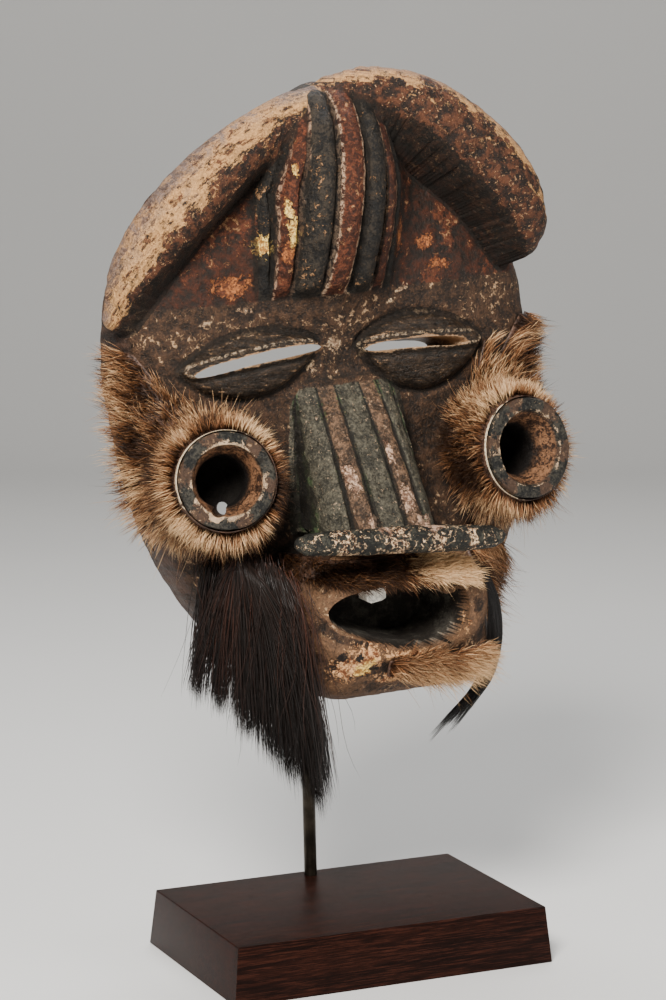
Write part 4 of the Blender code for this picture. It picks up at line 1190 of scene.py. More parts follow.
def make_cheek_fur(side, net, share):
    s = bpy.context.scene.mask_fur
    chance = np.random.default_rng(21 if side == "left" else 22)
    weight = smooth_step(share, 0.012, 0.05) * (1.0 + 1.2 * np.exp(-(((share - 0.2) / 0.15) ** 2)))
    if side == "right":
        weight = weight * (1 - 0.93 * smooth_step(net[..., 2] + 0.35 * (net[..., 0] - 90), 9, 14))
    roots, normals, place = scatter(net, True, s.hairs, chance, weight)
    long = parts(s.hair_length) * chance.uniform(0.6, 1.2, len(roots)) * (0.72 + 0.40 * place)
    from_middle = np.abs(roots[:, 0])
    inward = smooth_step(-from_middle, -64, -50)
    long *= (1 - 0.25 * inward) * (1 - 0.30 * smooth_step(from_middle, 98, 112))
    patchy = grain(roots, 0.06, 3, 4.0)
    # Painted shade: the fur between each tube and the nose is drawn darker.
    pale = 0.30 + 0.70 * patchy + 0.24 * np.exp(-(((place - 0.12) / 0.14) ** 2)) - 0.42 * inward
    pale = np.clip(pale + chance.normal(0, 0.15, len(roots)), 0, 1)
    return grow_fur(
        "fur_" + side, roots, normals, fur_direction(side, roots), long, chance,
        {"tone": pale, "hue": chance.random(len(roots))}, lift=0.42,
    )


# Hide strips, each by (x, z, half its height) along its middle.
MOUSTACHE = [(-39, -102, 4), (-20, -106, 5), (4, -107, 5), (25, -108, 5.5), (41, -112, 5)]
CHIN_FUR = [(-4, -152, 4), (12, -154, 5.5), (30, -156, 6), (45, -153, 5)]
# The strip down the right jaw: heights and half its width, and where its rays start and lean.
JAW_HIDE = [(-99, 5), (-112, 9), (-128, 9.5), (-142, 7.5), (-152, 4)]
JAW_ROOT = (48, 20)
JAW_LEANS = (radians(22), radians(72))
STRIP_THICKNESS = 1.6
MOUSTACHE_HAIRS = 5600
CHIN_HAIRS = 4400
JAW_HAIRS = 4500
# Lengths of the strips' hair in metres.
MOUSTACHE_LENGTH = 0.0080
CHIN_LENGTH = 0.0118
JAW_LENGTH = 0.0135


def strip_rays(strip, along, across):
    line = through(strip, along)
    side = np.linspace(-1, 1, across)
    x = np.repeat(line[:, :1], across, 1)
    z = line[:, 1:2] + line[:, 2:3] * side
    still = np.zeros(np.shape(x))
    return (x, still + 10, z), (still, still - 1, still)


def jaw_rays(along, across):
    line = through([(z, half, 0) for z, half in JAW_HIDE], along)
    side = np.linspace(-1, 1, across)
    middle, spread = sum(JAW_LEANS) / 2, (JAW_LEANS[1] - JAW_LEANS[0]) / 2
    widest = max(half for _, half in JAW_HIDE)
    lean = middle + spread * side * line[:, 1:2] / widest
    z = np.repeat(line[:, :1], across, 1)
    still = np.zeros(np.shape(z))
    return (still + JAW_ROOT[0], still + JAW_ROOT[1], z), (np.sin(lean), -np.cos(lean), still)


def make_strip(name, start, way):
    """A strip of hide, and the net that its hair stands on."""
    inner = hide_layer(carving, start, way, HIDE_LIFT)
    outer = hide_layer(carving, start, way, HIDE_LIFT + STRIP_THICKNESS)
    rows, columns = inner.shape[:2]
    count, edge = rows * columns, net_edge(rows, columns)
    sides = np.stack([np.roll(edge, 1), edge, count + edge, count + np.roll(edge, 1)], -1)
    points = np.concatenate([inner.reshape(-1, 3), outer.reshape(-1, 3)])
    thing = new_mesh(name, points, grid(rows, columns), grid(rows, columns, count, flip=True), sides)
    put_field(thing, "collar", np.ones(len(points)))
    put_field(thing, "cut_pale", np.zeros(len(points)))
    to_world(turn_faces_out(thing))
    thing.data.shade_smooth()
    return thing, outer


def make_moustache():
    chance = np.random.default_rng(31)
    hide, net = make_strip("moustache_hide", *strip_rays(MOUSTACHE, 60, 12))
    roots, normals, _ = scatter(net, False, MOUSTACHE_HAIRS, chance)
    blond = smooth_step(roots[:, 0] + chance.normal(0, 5, len(roots)), 8, 22)
    comb = np.stack([0.55 + 0 * blond, 0 * blond - 0.55, -0.15 - 0.50 * (1 - blond)], -1)
    long = parts(MOUSTACHE_LENGTH) * chance.uniform(0.6, 1.25, len(roots)) * (1 + 0.12 * blond)
    fur = grow_fur("moustache_fur", roots, normals, comb, long, chance, {
        "tone": np.clip(0.04 + 0.92 * blond + chance.normal(0, 0.10, len(roots)), 0, 1),
        "hue": chance.random(len(roots)),
    }, lift=0.45, ruffle=0.38)
    return hide, fur


def make_chin_fur():
    chance = np.random.default_rng(32)
    hide, net = make_strip("chin_hide", *strip_rays(CHIN_FUR, 50, 12))
    roots, normals, _ = scatter(net, False, CHIN_HAIRS, chance)
    comb = np.stack([0 * roots[:, 0] + 0.75, 0 * roots[:, 0] - 0.25, 0.42 - 0.008 * (roots[:, 0] + 4)], -1)
    long = parts(CHIN_LENGTH) * chance.uniform(0.55, 1.3, len(roots))
    pale = smooth_step(-roots[:, 2], 150, 158) + 0.6 * smooth_step(roots[:, 0], 22, 42)
    fur = grow_fur("chin_fur_hair", roots, normals, comb, long, chance, {
        "tone": np.clip(0.28 + 0.36 * pale + chance.normal(0, 0.16, len(roots)), 0, 1),
        "hue": chance.random(len(roots)),
    }, lift=0.55, ruffle=0.42)
    return hide, fur


def make_jaw_fur():
    chance = np.random.default_rng(33)
    hide, net = make_strip("jaw_hide", *jaw_rays(60, 24))
    roots, normals, _ = scatter(net, False, JAW_HAIRS, chance)
    comb = np.array((0.42, 0.05, -0.95)) + 0 * roots
    long = parts(JAW_LENGTH) * chance.uniform(0.6, 1.25, len(roots))
    fur = grow_fur("jaw_fur", roots, normals, comb, long, chance, {
        "tone": np.clip(0.30 + 0.4 * grain(roots, 0.07, 3, 9.0) + chance.normal(0, 0.13, len(roots)), 0, 1),
        "hue": chance.random(len(roots)),
    }, lift=0.35, ruffle=0.2)
    return hide, fur


# The beard's fan: roots and tips (x, y, z) from its left side to its right, and spread.
BEARD_FAN = [
    ((-79, 7, -97), (-86, 12, -165)), ((-74, 3, -97), (-79, 8, -166)),
    ((-68, -2, -97), (-71, 4, -176)), ((-63, -7, -98), (-64, -3, -183)),
    ((-58, -12, -99), (-57, -7, -192)), ((-53, -17, -100), (-49, -11, -207)),
    ((-50, -22, -102), (-43, -14, -212)), ((-47, -27, -105), (-37, -16, -210)),
    ((-45, -30, -112), (-33, -18, -226)), ((-43, -30, -122), (-26, -15, -203)),
]
BEARD_POINTS = 10
LOOSE_STRANDS = 150
# Where the beard's outer strands are tied, under the left hide.
BEARD_KNOT = (-66, -13, -95)


def off_the_wood(paths, clear):
    """Moves points of hair out of the wood, so that each clears it by so much."""
    flat, step = paths.reshape(-1, 3).copy(), 0.5
    for _ in range(7):
        here = carving(*flat.T)
        close = np.nonzero(here < clear)[0]
        if not len(close):
            break
        x, y, z = flat[close].T
        slope = unit_rows(np.stack([
            carving(x + step, y, z) - here[close], carving(x, y + step, z) - here[close],
            carving(x, y, z + step) - here[close],
        ], -1))
        flat[close] += 0.75 * (clear - here[close])[:, None] * slope
    return flat.reshape(paths.shape)


def make_beard():
    s = bpy.context.scene.mask_hair
    chance = np.random.default_rng(41)
    count = s.strands
    lane = chance.beta(1.05, 1.0, count) * (len(BEARD_FAN) - 1)
    root = through([a for a, _ in BEARD_FAN], lane) + chance.normal(0, (1.8, 2.6, 2.0), (count, 3))
    tip = through([b for _, b in BEARD_FAN], lane) + chance.normal(0, (3.2, 4.6, 3.5), (count, 3))
    short = np.where(
        chance.random(count) < 0.30, chance.uniform(0.45, 0.95, count), chance.uniform(0.93, 1.0, count)
    )
    share = np.linspace(0, 1, BEARD_POINTS)[None, :, None]
    fall = share * short[:, None, None]
    paths = root[:, None] + (tip - root)[:, None] * fall
    tied = (chance.random(count) < 0.6)[:, None, None]
    pull = (0.25 + 0.60 * tied) * np.exp(-share * (4.5 - 1.5 * tied))
    paths = paths + pull * (np.array(BEARD_KNOT) - root)[:, None]
    wave = chance.uniform(0, 2 * pi, (count, 1, 2))
    pitch = chance.uniform(0.6, 1.7, (count, 1, 1))
    sway = np.sin(2 * pi * pitch * share + wave[:, :, :1]) * chance.uniform(0.2, 1.7, (count, 1, 1))
    bulge = np.sin(pi * np.minimum(share * 1.1, 1)) * chance.uniform(0, 5.5, (count, 1, 1))
    paths = paths + sway * share * np.array((1.0, 0.5, 0)) + bulge * np.array((-0.15, -0.85, 0))
    depth = chance.uniform(0.6, 9.5, (count, 1, 1)) * (1 - 0.35 * share)
    paths = gather(paths, 26, 0.78, chance)
    paths = paths + np.array((0, -1.0, 0)) * depth * 0.5
    paths = off_the_wood(paths, 0.8)
    red = np.exp(-((lane - 1.2) / 2.6) ** 2) * chance.random(count) ** 1.1 * (0.35 + 0.65 * tied[:, 0, 0])
    widths = parts(s.strand_width) * chance.uniform(0.65, 1.15, count)
    return hair_mesh("beard_hair", paths, widths, {"tone": red, "hue": chance.random(count)})


def make_loose_strands():
    """Long hairs that stray from the beard over the cheek and the corner of the mouth."""
    s = bpy.context.scene.mask_hair
    chance = np.random.default_rng(43)
    count = LOOSE_STRANDS
    lane = chance.uniform(0.5, 9.0, count)
    root = through([a for a, _ in BEARD_FAN], lane) + chance.normal(0, 2.5, (count, 3)) + (0, -3, 2)
    tip = through([b for _, b in BEARD_FAN], lane) + chance.normal(0, (13, 5, 9), (count, 3))
    reach = chance.uniform(0.25, 0.95, count)[:, None]
    tip = root + (tip - root) * reach + (3, -4, 0)
    share = np.linspace(0, 1, 13)[None, :, None]
    wave, pitch = chance.uniform(0, 2 * pi, (count, 1, 1)), chance.uniform(0.5, 1.6, (count, 1, 1))
    curl = np.sin(2 * pi * pitch * share + wave) - np.sin(wave)
    paths = root[:, None] + (tip - root)[:, None] * share
    paths = paths + curl * share * chance.uniform(1, 5, (count, 1, 1)) * np.array((1, 0.4, 0.35))
    paths = paths + np.sin(pi * share) * np.array((0, -1, 0.25)) * chance.uniform(1, 9, (count, 1, 1))
    paths = off_the_wood(paths, 1.0)
    widths = parts(s.strand_width) * chance.uniform(0.55, 0.9, count)
    tone, hue = chance.random(count) ** 0.6, chance.random(count)
    return hair_mesh("loose_strands", paths, widths, {"tone": tone, "hue": hue})


# The black lock, along its middle (x, y, z, radius).
HAIR_LOCK = [
    (50, -32, -113, 2.4), (55, -32, -130, 3.6), (56, -30, -150, 4.4), (51, -27, -168, 4.8),
    (40, -24, -181, 4.6), (27, -23, -193, 5.2),
]
LOCK_STRANDS = 560
LOCK_POINTS = 14


def make_hair_lock():
    s = bpy.context.scene.mask_hair
    chance = np.random.default_rng(51)
    count, spots = LOCK_STRANDS, LOCK_POINTS
    stop = chance.uniform(0.62, 1.0, count) ** 0.7
    beads = through(HAIR_LOCK, 60)
    share = np.linspace(0, 1, spots)[None, :] * stop[:, None]
    at = share * (len(beads) - 1.001)
    i = at.astype(int)
    line = beads[i] + (beads[i + 1] - beads[i]) * (at - i)[..., None]
    turn, away = chance.uniform(0, 2 * pi, (count, 1)), np.sqrt(chance.random((count, 1)))
    turn = turn + chance.normal(0, 0.25, (count, 1)) * share
    spread = np.stack([np.cos(turn), 0.6 * np.sin(turn), 0.35 * np.cos(turn)], -1)
    flare = 1 + 0.9 * smooth_step(share, 0.45, 1.0)
    paths = line[..., :3] + (line[..., 3] * away * flare)[..., None] * spread
    wave = chance.uniform(0, 2 * pi, (count, 1))
    paths = paths + (0.8 * share * np.sin(7 * share + wave))[..., None] * np.array((0.8, 0.4, 0.5))
    paths = gather(paths, 30, 0.6, chance)
    paths = off_the_wood(paths, 0.7)
    widths = parts(s.strand_width) * chance.uniform(0.6, 1.0, count)
    return hair_mesh("hair_lock_strands", paths, widths, {"tone": 0 * stop, "hue": chance.random(count)})


def make_base():
    """A block that widens slightly towards its foot, with its edges eased."""
    s = bpy.context.scene.mask_stand
    shape = bmesh.new()
    foot_x, foot_y = BASE_HIGH.x, BASE_HIGH.y
    flare = foot_x - BASE_TOP_HALF_WIDTH
    rings = []
    for z, narrower in ((0, 0), (BASE_HIGH.z, flare)):
        corners = ((-1, -1), (1, -1), (1, 1), (-1, 1))
        rings.append([
            shape.verts.new((x * (foot_x - narrower), y * (foot_y - narrower), z)) for x, y in corners
        ])
    shape.faces.new(rings[0][::-1])
    shape.faces.new(rings[1])
    for i in range(4):
        shape.faces.new((rings[0][i], rings[0][(i + 1) % 4], rings[1][(i + 1) % 4], rings[1][i]))
    bmesh.ops.bevel(shape, geom=list(shape.edges), offset=s.edge, segments=5, profile=0.5, affect="EDGES")
    bmesh.ops.recalc_face_normals(shape, faces=shape.faces)
    mesh = bpy.data.meshes.new("rosewood_base")
    shape.to_mesh(mesh)
    shape.free()
    thing = bpy.data.objects.new("rosewood_base", mesh)
    bpy.context.scene.collection.objects.link(thing)
    thing.data.shade_smooth()
    thing.data.set_sharp_from_angle(angle=radians(30))
    return thing


BASE_TOP_HALF_WIDTH = 0.080
ROD_SETBACK = 0.0068
ROD_LEAN = radians(-1.4)
ROD_BEND = 0.014
ROD_SOCKET = 0.0137
# Heights of the rod's upper arm and of its stay in the mask's frame, in carver's parts.
UPPER_ARM = -34
LOWER_ARM = -149


def room_ahead(mask, start, way, radius):
    """How far an arm of that radius can go from start before it meets the mask."""
    side = way.orthogonal().normalized()
    starts = [start] + [
        start + radius * (cos(a) * side + sin(a) * way.cross(side)) for a in np.arange(8) * pi / 4
    ]
    hits = [mask.ray_cast(point, way) for point in starts]
    return min((place - point).length for (hit, place, _, _), point in zip(hits, starts) if hit)


def make_rod(mask):
    """The stand's rod: up from the base, then forwards into the mask's hollow, with a stay."""
    s, c = bpy.context.scene.mask_stand, carving_settings()
    setback = BASE_HIGH.y - (BASE_HIGH.x - BASE_TOP_HALF_WIDTH) - ROD_SETBACK
    foot = Vector((0, setback, BASE_HIGH.z))
    up = Matrix.Rotation(ROD_LEAN, 3, "Y") @ Vector((0, 0, 1))
    forward = Vector((0, -1, 0))

    def on_rod(height):
        return foot + up * ((height - foot.z) / up.z)

    radius = s.rod_width / 2
    top = on_rod(c.face_height + UPPER_ARM * unit())
    path = [foot - up * ROD_SOCKET]
    path += [on_rod(z) for z in np.linspace(foot.z, top.z - ROD_BEND - 0.002, 12)]
    turns = np.linspace(0, pi / 2, 17)
    path += [top - up * ROD_BEND * (1 - sin(t)) + forward * ROD_BEND * (1 - cos(t)) for t in turns]
    reach = room_ahead(mask, top + forward * ROD_BEND, forward, radius)
    path.append(top + forward * (ROD_BEND + reach))
    rod = rounded_bar("rod", [(*point, radius) for point in path], 40, flat=True)
    low = on_rod(c.face_height + LOWER_ARM * unit())
    reach = room_ahead(mask, low + forward * 2 * radius, forward, s.stay_width / 2)
    ends = [low, low + forward * (2 * radius + reach)]
    stay = rounded_bar("rod_stay", [(*point, s.stay_width / 2) for point in ends], 32, flat=True)
    combine(rod, stay, "UNION")
    rod.data.shade_smooth()
    rod.data.set_sharp_from_angle(angle=radians(40))
    return rod


class Wire:
    """A number on its way through a material: arithmetic on it adds Math nodes."""

    def __init__(self, paint, socket):
        self.paint, self.socket = paint, socket

    def math(self, operation, *values):
        return self.paint.node("ShaderNodeMath", {"operation": operation}, dict(enumerate(values)))

    def __add__(self, other):
        return self.math("ADD", self, other)

    __radd__ = __add__

    def __sub__(self, other):
        return self.math("SUBTRACT", self, other)

    def __rsub__(self, other):
        return self.math("SUBTRACT", other, self)

    def __mul__(self, other):
        return self.math("MULTIPLY", self, other)

    __rmul__ = __mul__

    def __abs__(self):
        return self.math("ABSOLUTE", self)

    def least(self, other):
        return self.math("MINIMUM", self, other)

    def wave(self):
        return self.math("SINE", self)


class Paint:
    """A material being mixed: its node tree and the few ways in which it is added to."""

    def __init__(self, name):
        self.material = bpy.data.materials.new(name)
        self.material.use_nodes = True
        self.tree = self.material.node_tree
        self.shader = self.tree.nodes["Principled BSDF"]

    def node(self, kind, settings=None, inputs=None, output=0):
        made = self.tree.nodes.new(kind)
        for key, value in (settings or {}).items():
            setattr(made, key, value)
        for key, value in (inputs or {}).items():
            self.connect(value, made.inputs[key])
        return Wire(self, made.outputs[output])

    def connect(self, value, socket):
        if isinstance(value, Wire):
            self.tree.links.new(value.socket, socket)
        elif socket.type == "RGBA":
            socket.default_value = (*value, 1)
        else:
            socket.default_value = value

    def field(self, name):
        return self.node("ShaderNodeAttribute", {"attribute_name": name}, output="Fac")

    def place(self, stretch=(1, 1, 1)):
        """Where the point lies, in millimetres, drawn out along the axes if asked."""
        where = self.node("ShaderNodeTexCoord", output="Object")
        wide = tuple(1000 * s for s in stretch)
        return self.node("ShaderNodeVectorMath", {"operation": "MULTIPLY"}, {0: where, 1: wide})

    def vector(self, x, y, z):
        return self.node("ShaderNodeCombineXYZ", None, {0: x, 1: y, 2: z})

    def noise(self, where, scale, detail, roughness, distortion=0.0):
        return self.node("ShaderNodeTexNoise", {"noise_dimensions": "3D"}, {
            "Vector": where, "Scale": scale, "Detail": detail, "Roughness": roughness,
            "Distortion": distortion,
        })

    def cell_edges(self, where, scale):
        """0 on the edges between cells, rising into each."""
        inputs = {"Vector": where, "Scale": scale}
        return self.node("ShaderNodeTexVoronoi", {"feature": "DISTANCE_TO_EDGE"}, inputs)

    def step(self, value, low, high):
        """0 below low and 1 above high, smoothly between."""
        return self.node("ShaderNodeMapRange", {"interpolation_type": "SMOOTHSTEP"}, {
            "Value": value, "From Min": low, "From Max": high,
        })

    def blend(self, share, first, second):
        return self.node("ShaderNodeMix", {"data_type": "RGBA"}, {0: share, 6: first, 7: second}, 2)

    def shade(self, colour, share):
        """A colour made darker or lighter by a number."""
        grey = self.node("ShaderNodeCombineColor", None, {0: share, 1: share, 2: share})
        return self.node("ShaderNodeMix", {"data_type": "RGBA", "blend_type": "MULTIPLY"}, {
            0: 1.0, 6: colour, 7: grey,
        }, 2)

    def bump(self, height, distance):
        return self.node("ShaderNodeBump", None, {"Height": height, "Distance": distance, "Strength": 1.0})

    def done(self, **sockets):
        """Sets the shader's sockets, their names with _ for a space, and gives the material."""
        for name, value in sockets.items():
            self.connect(value, self.shader.inputs[name.replace("_", " ")])
        return self.material


def times(colour, share):
    return tuple(c * share for c in colour)


def carved_wood_paint():
    """Dark crust and old paint over carved wood, rubbed pale on the rolls and the edges, with painted light
    and shade in places.
    """
    c = carving_settings()
    crust, brown, red, black = (tuple(v) for v in (c.crust, c.brown, c.red, c.black))
    pale, ochre, green = (tuple(v) for v in (c.pale, c.ochre, c.green))
    p = Paint("carved_wood_paint")
    here = p.place()
    broad, patchy = p.noise(here, 0.055, 5, 0.6), p.noise(here, 0.22, 6, 0.66)
    fine, grit = p.noise(here, 0.9, 4, 0.7), p.noise(here, 2.6, 2, 0.6)
    chips = p.noise(here, 0.38, 7, 0.76, 0.6)
    # Each sway is its noise centred on nought, to fray an edge both ways.
    broad_sway, patchy_sway, fine_sway, chip_sway = (noise - 0.5 for noise in (broad, patchy, fine, chips))
    curve = p.field("curve")
    worn_edge = p.step(curve + chip_sway * 3.0, 0.30, 0.62)
    # Where the carving curves inwards; it darkens the grooves further on as painted shade.
    groove = p.step((0 - curve) + patchy_sway * 0.5, 0.15, 0.55)

    def ragged(name, edge=0.5, fray=1.9, soft=0.035):
        """A painted area or chip, by the field of that name, with a frayed edge."""
        return p.step(p.field(name) + chip_sway * fray, edge - soft, edge + soft)

    def mottled(first, second, low=0.44, high=0.56):
        """Two colours in blotches a few millimetres wide, with a grain of the other in each."""
        return p.blend(p.step(patchy * 0.55 + fine * 0.45, low, high), first, second)

    # Crust and rubbed wood under everything, with pale specks of clay.
    colour = p.blend(p.step(broad * 0.5 + patchy * 0.5, 0.42, 0.60), times(crust, 0.5), times(brown, 0.48))
    colour = p.blend(p.step(fine, 0.50, 0.64) * 0.5, colour, times(brown, 0.72))
    specks = p.step(chips + broad_sway * 0.5 + p.field("nasion") * 0.05, 0.60, 0.635)
    colour = p.blend(worn_edge * 0.42, colour, (0.24, 0.125, 0.062))
    colour = p.blend(specks * 0.8, colour, (0.46, 0.29, 0.16))

    # The forehead's red panels and striped ribs.
    count = p.field("rib_number") + patchy_sway * 0.20
    panel = p.blend(p.step(patchy, 0.38, 0.66), (0.013, 0.008, 0.005), times(red, 0.24))
    panel = p.blend(p.step(chips + broad_sway * 1.6, 0.58, 0.66) * 0.7, panel, times(red, 0.6))
    rubbed_red = p.blend(p.step(chips, 0.44, 0.60), times(red, 0.14), times(red, 0.80))
    rubbed_red = p.blend(p.step(patchy, 0.46, 0.62) * 0.75, rubbed_red, times(red, 0.16))
    rib_black = mottled((0.006, 0.005, 0.004), black)
    rib_colour = panel
    for middle, half, paint in (
        (0, 0.50, p.shade(rib_black, 0.55)),
        (1, 0.50, rubbed_red),
        (2, 0.55, rib_black),
        (3, 0.46, rubbed_red),
        (4, 0.55, p.shade(rib_black, 0.8)),
        (5, 0.50, p.shade(rubbed_red, 0.65)),
        (6, 0.45, p.shade(rib_black, 0.5)),
    ):
        rib_colour = p.blend(p.step(half - abs(count - middle), 0, 0.05), rib_colour, paint)
    for middle, away, strength in ((1, 0.42, 0.5), (3, 0.40, 0.9), (5, 0.40, 0.6)):
        rubbed = p.step(0.10 - abs(abs(count - middle) - away), 0.0, 0.06) * p.step(chips, 0.46, 0.53)
        rib_colour = p.blend(rubbed * strength, rib_colour, (0.46, 0.31, 0.20))
    rib_colour = p.blend(p.step(chips + broad_sway * 0.6, 0.62, 0.65) * 0.7, rib_colour, (0.42, 0.22, 0.10))
    forehead = p.step(p.field("on_forehead") + patchy_sway * 0.5, 0.42, 0.58)
    colour = p.blend(forehead, colour, rib_colour)

    # The rolls: rubbed pale outside, ochre streaks along the crest, and painted shade darkening the inner
    # side and the crease; the left roll is drawn paler than the right as painted light.
    along, across = p.field("roll_along"), p.field("roll_across")
    streaks = p.noise(p.vector(along * 0.045, across * 1.7, broad * 3), 1.0, 7, 0.68)
    speckle = p.noise(p.vector(along * 0.16, across * 5.0, patchy * 2), 1.0, 7, 0.76)
    streak_sway, speckle_sway = streaks - 0.5, speckle - 0.5
    # How pale each roll is drawn: part rubbing, part painted light, the left roll paler than the right.
    lit = p.field("roll_pale")
    mauve = p.blend(p.step(speckle, 0.44, 0.58), (0.10, 0.064, 0.050), (0.27, 0.195, 0.165))
    skin_tone = p.blend(p.step(streaks + speckle_sway * 0.9, 0.47, 0.66), mauve, times(pale, 0.66))
    skin_tone = p.blend(p.step(speckle + streak_sway * 1.2, 0.50, 0.58) * 0.75, skin_tone, times(ochre, 0.75))
    stained = p.step(patchy + speckle_sway * 1.2, 0.54, 0.64) * 0.85
    skin_tone = p.blend(stained, skin_tone, (0.060, 0.031, 0.020))
    skin_tone = p.blend(p.step(chips, 0.60, 0.66) * 0.5, skin_tone, (0.80, 0.64, 0.46))
    # The roll's front and inner side take this dark skin, part dark paint and part painted shade.
    dark_shaded_skin = p.blend(p.step(patchy, 0.42, 0.60), (0.014, 0.007, 0.004), (0.085, 0.030, 0.013))
    dark_shaded_skin = p.blend(p.step(chips + fine_sway * 0.8, 0.62, 0.65) * 0.8, dark_shaded_skin, (0.42, 0.24, 0.12))
    worn_across = across - 0.56 + streak_sway * 2.8 + speckle_sway * 1.8 + (lit - 1)
    crest_streak = p.step(0.42 - abs(worn_across + 0.12), 0.0, 0.14) * p.step(speckle, 0.42, 0.52)
    roll_colour = p.blend(p.step(worn_across, -0.10, 0.14), dark_shaded_skin, skin_tone)
    roll_colour = p.blend(crest_streak * 0.8, roll_colour, ochre)
    greyed = p.step(across + speckle_sway, 0.78, 0.98) * 0.8 * (1 - lit * 0.6)
    roll_colour = p.blend(greyed, roll_colour, (0.12, 0.078, 0.072))
    # Painted shade: the crease side of each roll is darkened again.
    roll_colour = p.blend(p.step(-0.45 - across + speckle_sway * 0.9, 0, 0.3), roll_colour, dark_shaded_skin)
    colour = p.blend(p.step(p.field("on_roll"), 0.35, 0.65), colour, roll_colour)

    # Eyes: smoother and darker, with rubbed flecks on the lids; the light line on the lids' edges by the
    # slits, drawn further on, is a painted highlight.
    eye = p.step(p.field("on_eye") + patchy_sway * 0.4, 0.35, 0.6)
    lid_grain = p.noise(p.place((0.35, 0.7, 1.8)), 0.5, 6, 0.7, 0.4)
    lid = p.blend(p.step(lid_grain, 0.42, 0.64), (0.007, 0.005, 0.003), (0.042, 0.026, 0.015))
    colour = p.blend(eye * 0.92, colour, lid)
    lid_wear = eye * p.step(lid_grain + chip_sway * 0.8 + curve * 0.08, 0.66, 0.72)
    colour = p.blend(lid_wear * 0.85, colour, (0.34, 0.20, 0.105))

    # The nose: grey-black and brown stripes with green left in the grooves between, and painted shade down
    # its right side.
    share = p.field("nose_across")
    nose_black = mottled((0.020, 0.018, 0.012), (0.088, 0.078, 0.054), 0.38, 0.64)
    nose_brown = mottled((0.036, 0.022, 0.013), (0.15, 0.085, 0.048), 0.42, 0.62)
    nose_colour = nose_black
    for low, high in ((NOSE_GROOVES[1], NOSE_GROOVES[2]), (NOSE_GROOVES[3], NOSE_GROOVES[4])):
        within = p.step(((high - low) / 2) - abs(share - (low + high) / 2), 0, 0.02)
        nose_colour = p.blend(within, nose_colour, nose_brown)
    # Painted shade down the nose's right side.
    nose_colour = p.blend(p.step(share, 0.80, 0.95) * 0.8, nose_colour, (0.016, 0.012, 0.008))
    for line_at in NOSE_GROOVES:
        away = abs(share - line_at)
        line = p.step(0.055 - away, 0, 0.03) * p.step(chips + broad_sway, 0.50, 0.58)
        nose_colour = p.blend(line * 0.75, nose_colour, times(green, 0.7))
        nose_colour = p.blend(p.step(0.026 - away, 0, 0.014), nose_colour, (0.008, 0.008, 0.005))
    nose_chips = p.step(chips + fine_sway * 0.5, 0.62, 0.645) * 0.75
    nose_colour = p.blend(nose_chips, nose_colour, (0.40, 0.27, 0.17))
    colour = p.blend(p.step(p.field("on_nose") + patchy_sway * 0.6, 0.4, 0.6), colour, nose_colour)

    # The bar under the nose is black with chipped stretches; the tubes' rims are checked, and their funnels
    # are drawn darker deeper in as painted shade.
    bar_colour = mottled((0.008, 0.008, 0.006), (0.044, 0.042, 0.031), 0.46, 0.62)
    chipped = p.step(p.field("bar_chips") * 0.35 + chip_sway * 4.0, 0.30, 0.38)
    under_black = p.blend(p.step(fine, 0.42, 0.56), (0.065, 0.026, 0.012), (0.30, 0.105, 0.040))
    bar_colour = p.blend(chipped, bar_colour, under_black)
    cream_chip = chipped * p.step(fine + chip_sway * 0.9, 0.53, 0.56)
    bar_colour = p.blend(cream_chip, bar_colour, (0.74, 0.52, 0.31))
    colour = p.blend(p.field("on_bar"), colour, bar_colour)
    away, deep_in, turn = p.field("tube_away"), p.field("tube_along"), p.field("tube_turn")
    rim = p.step(deep_in, -3.2, -2.4) * p.step(1.06 - away, 0, 0.02) * p.step(away, 0.70, 0.74)
    rim_check = p.step((turn * 6 + patchy * 6.0).wave() + fine_sway * 1.6, 0.25, 0.55)
    rim_black = mottled((0.006, 0.006, 0.005), (0.036, 0.032, 0.024))
    rim_colour = p.blend(rim_check, rim_black, (0.055, 0.030, 0.018))
    rim_colour = p.blend(rim_check * p.step(chips, 0.54, 0.62), rim_colour, (0.26, 0.155, 0.085))
    rim_colour = p.blend(p.step(curve + chip_sway * 4.5, 0.85, 1.10) * 0.8, rim_colour, (0.56, 0.39, 0.24))
    funnel = p.step(0.80 - away, 0, 0.05) * p.step(1 - away, 0, 0.02) * p.step(0.4 - deep_in, 0, 0.3)
    funnel_colour = mottled((0.030, 0.013, 0.006), (0.20, 0.095, 0.045))
    # Painted shade: the funnel darkens towards the bore.
    funnel_colour = p.blend(p.step(0 - deep_in, 8, 15), funnel_colour, (0.006, 0.004, 0.003))
    colour = p.blend(funnel, colour, funnel_colour)
    side_wood = mottled((0.012, 0.006, 0.004), (0.085, 0.042, 0.022))
    on_side = p.step(1.06 - away, 0, 0.02) * p.step(away, 0.96, 0.98) * p.step(0 - deep_in, 2.4, 3.2)
    colour = p.blend(on_side, colour, side_wood)
    colour = p.blend(rim, colour, rim_colour)
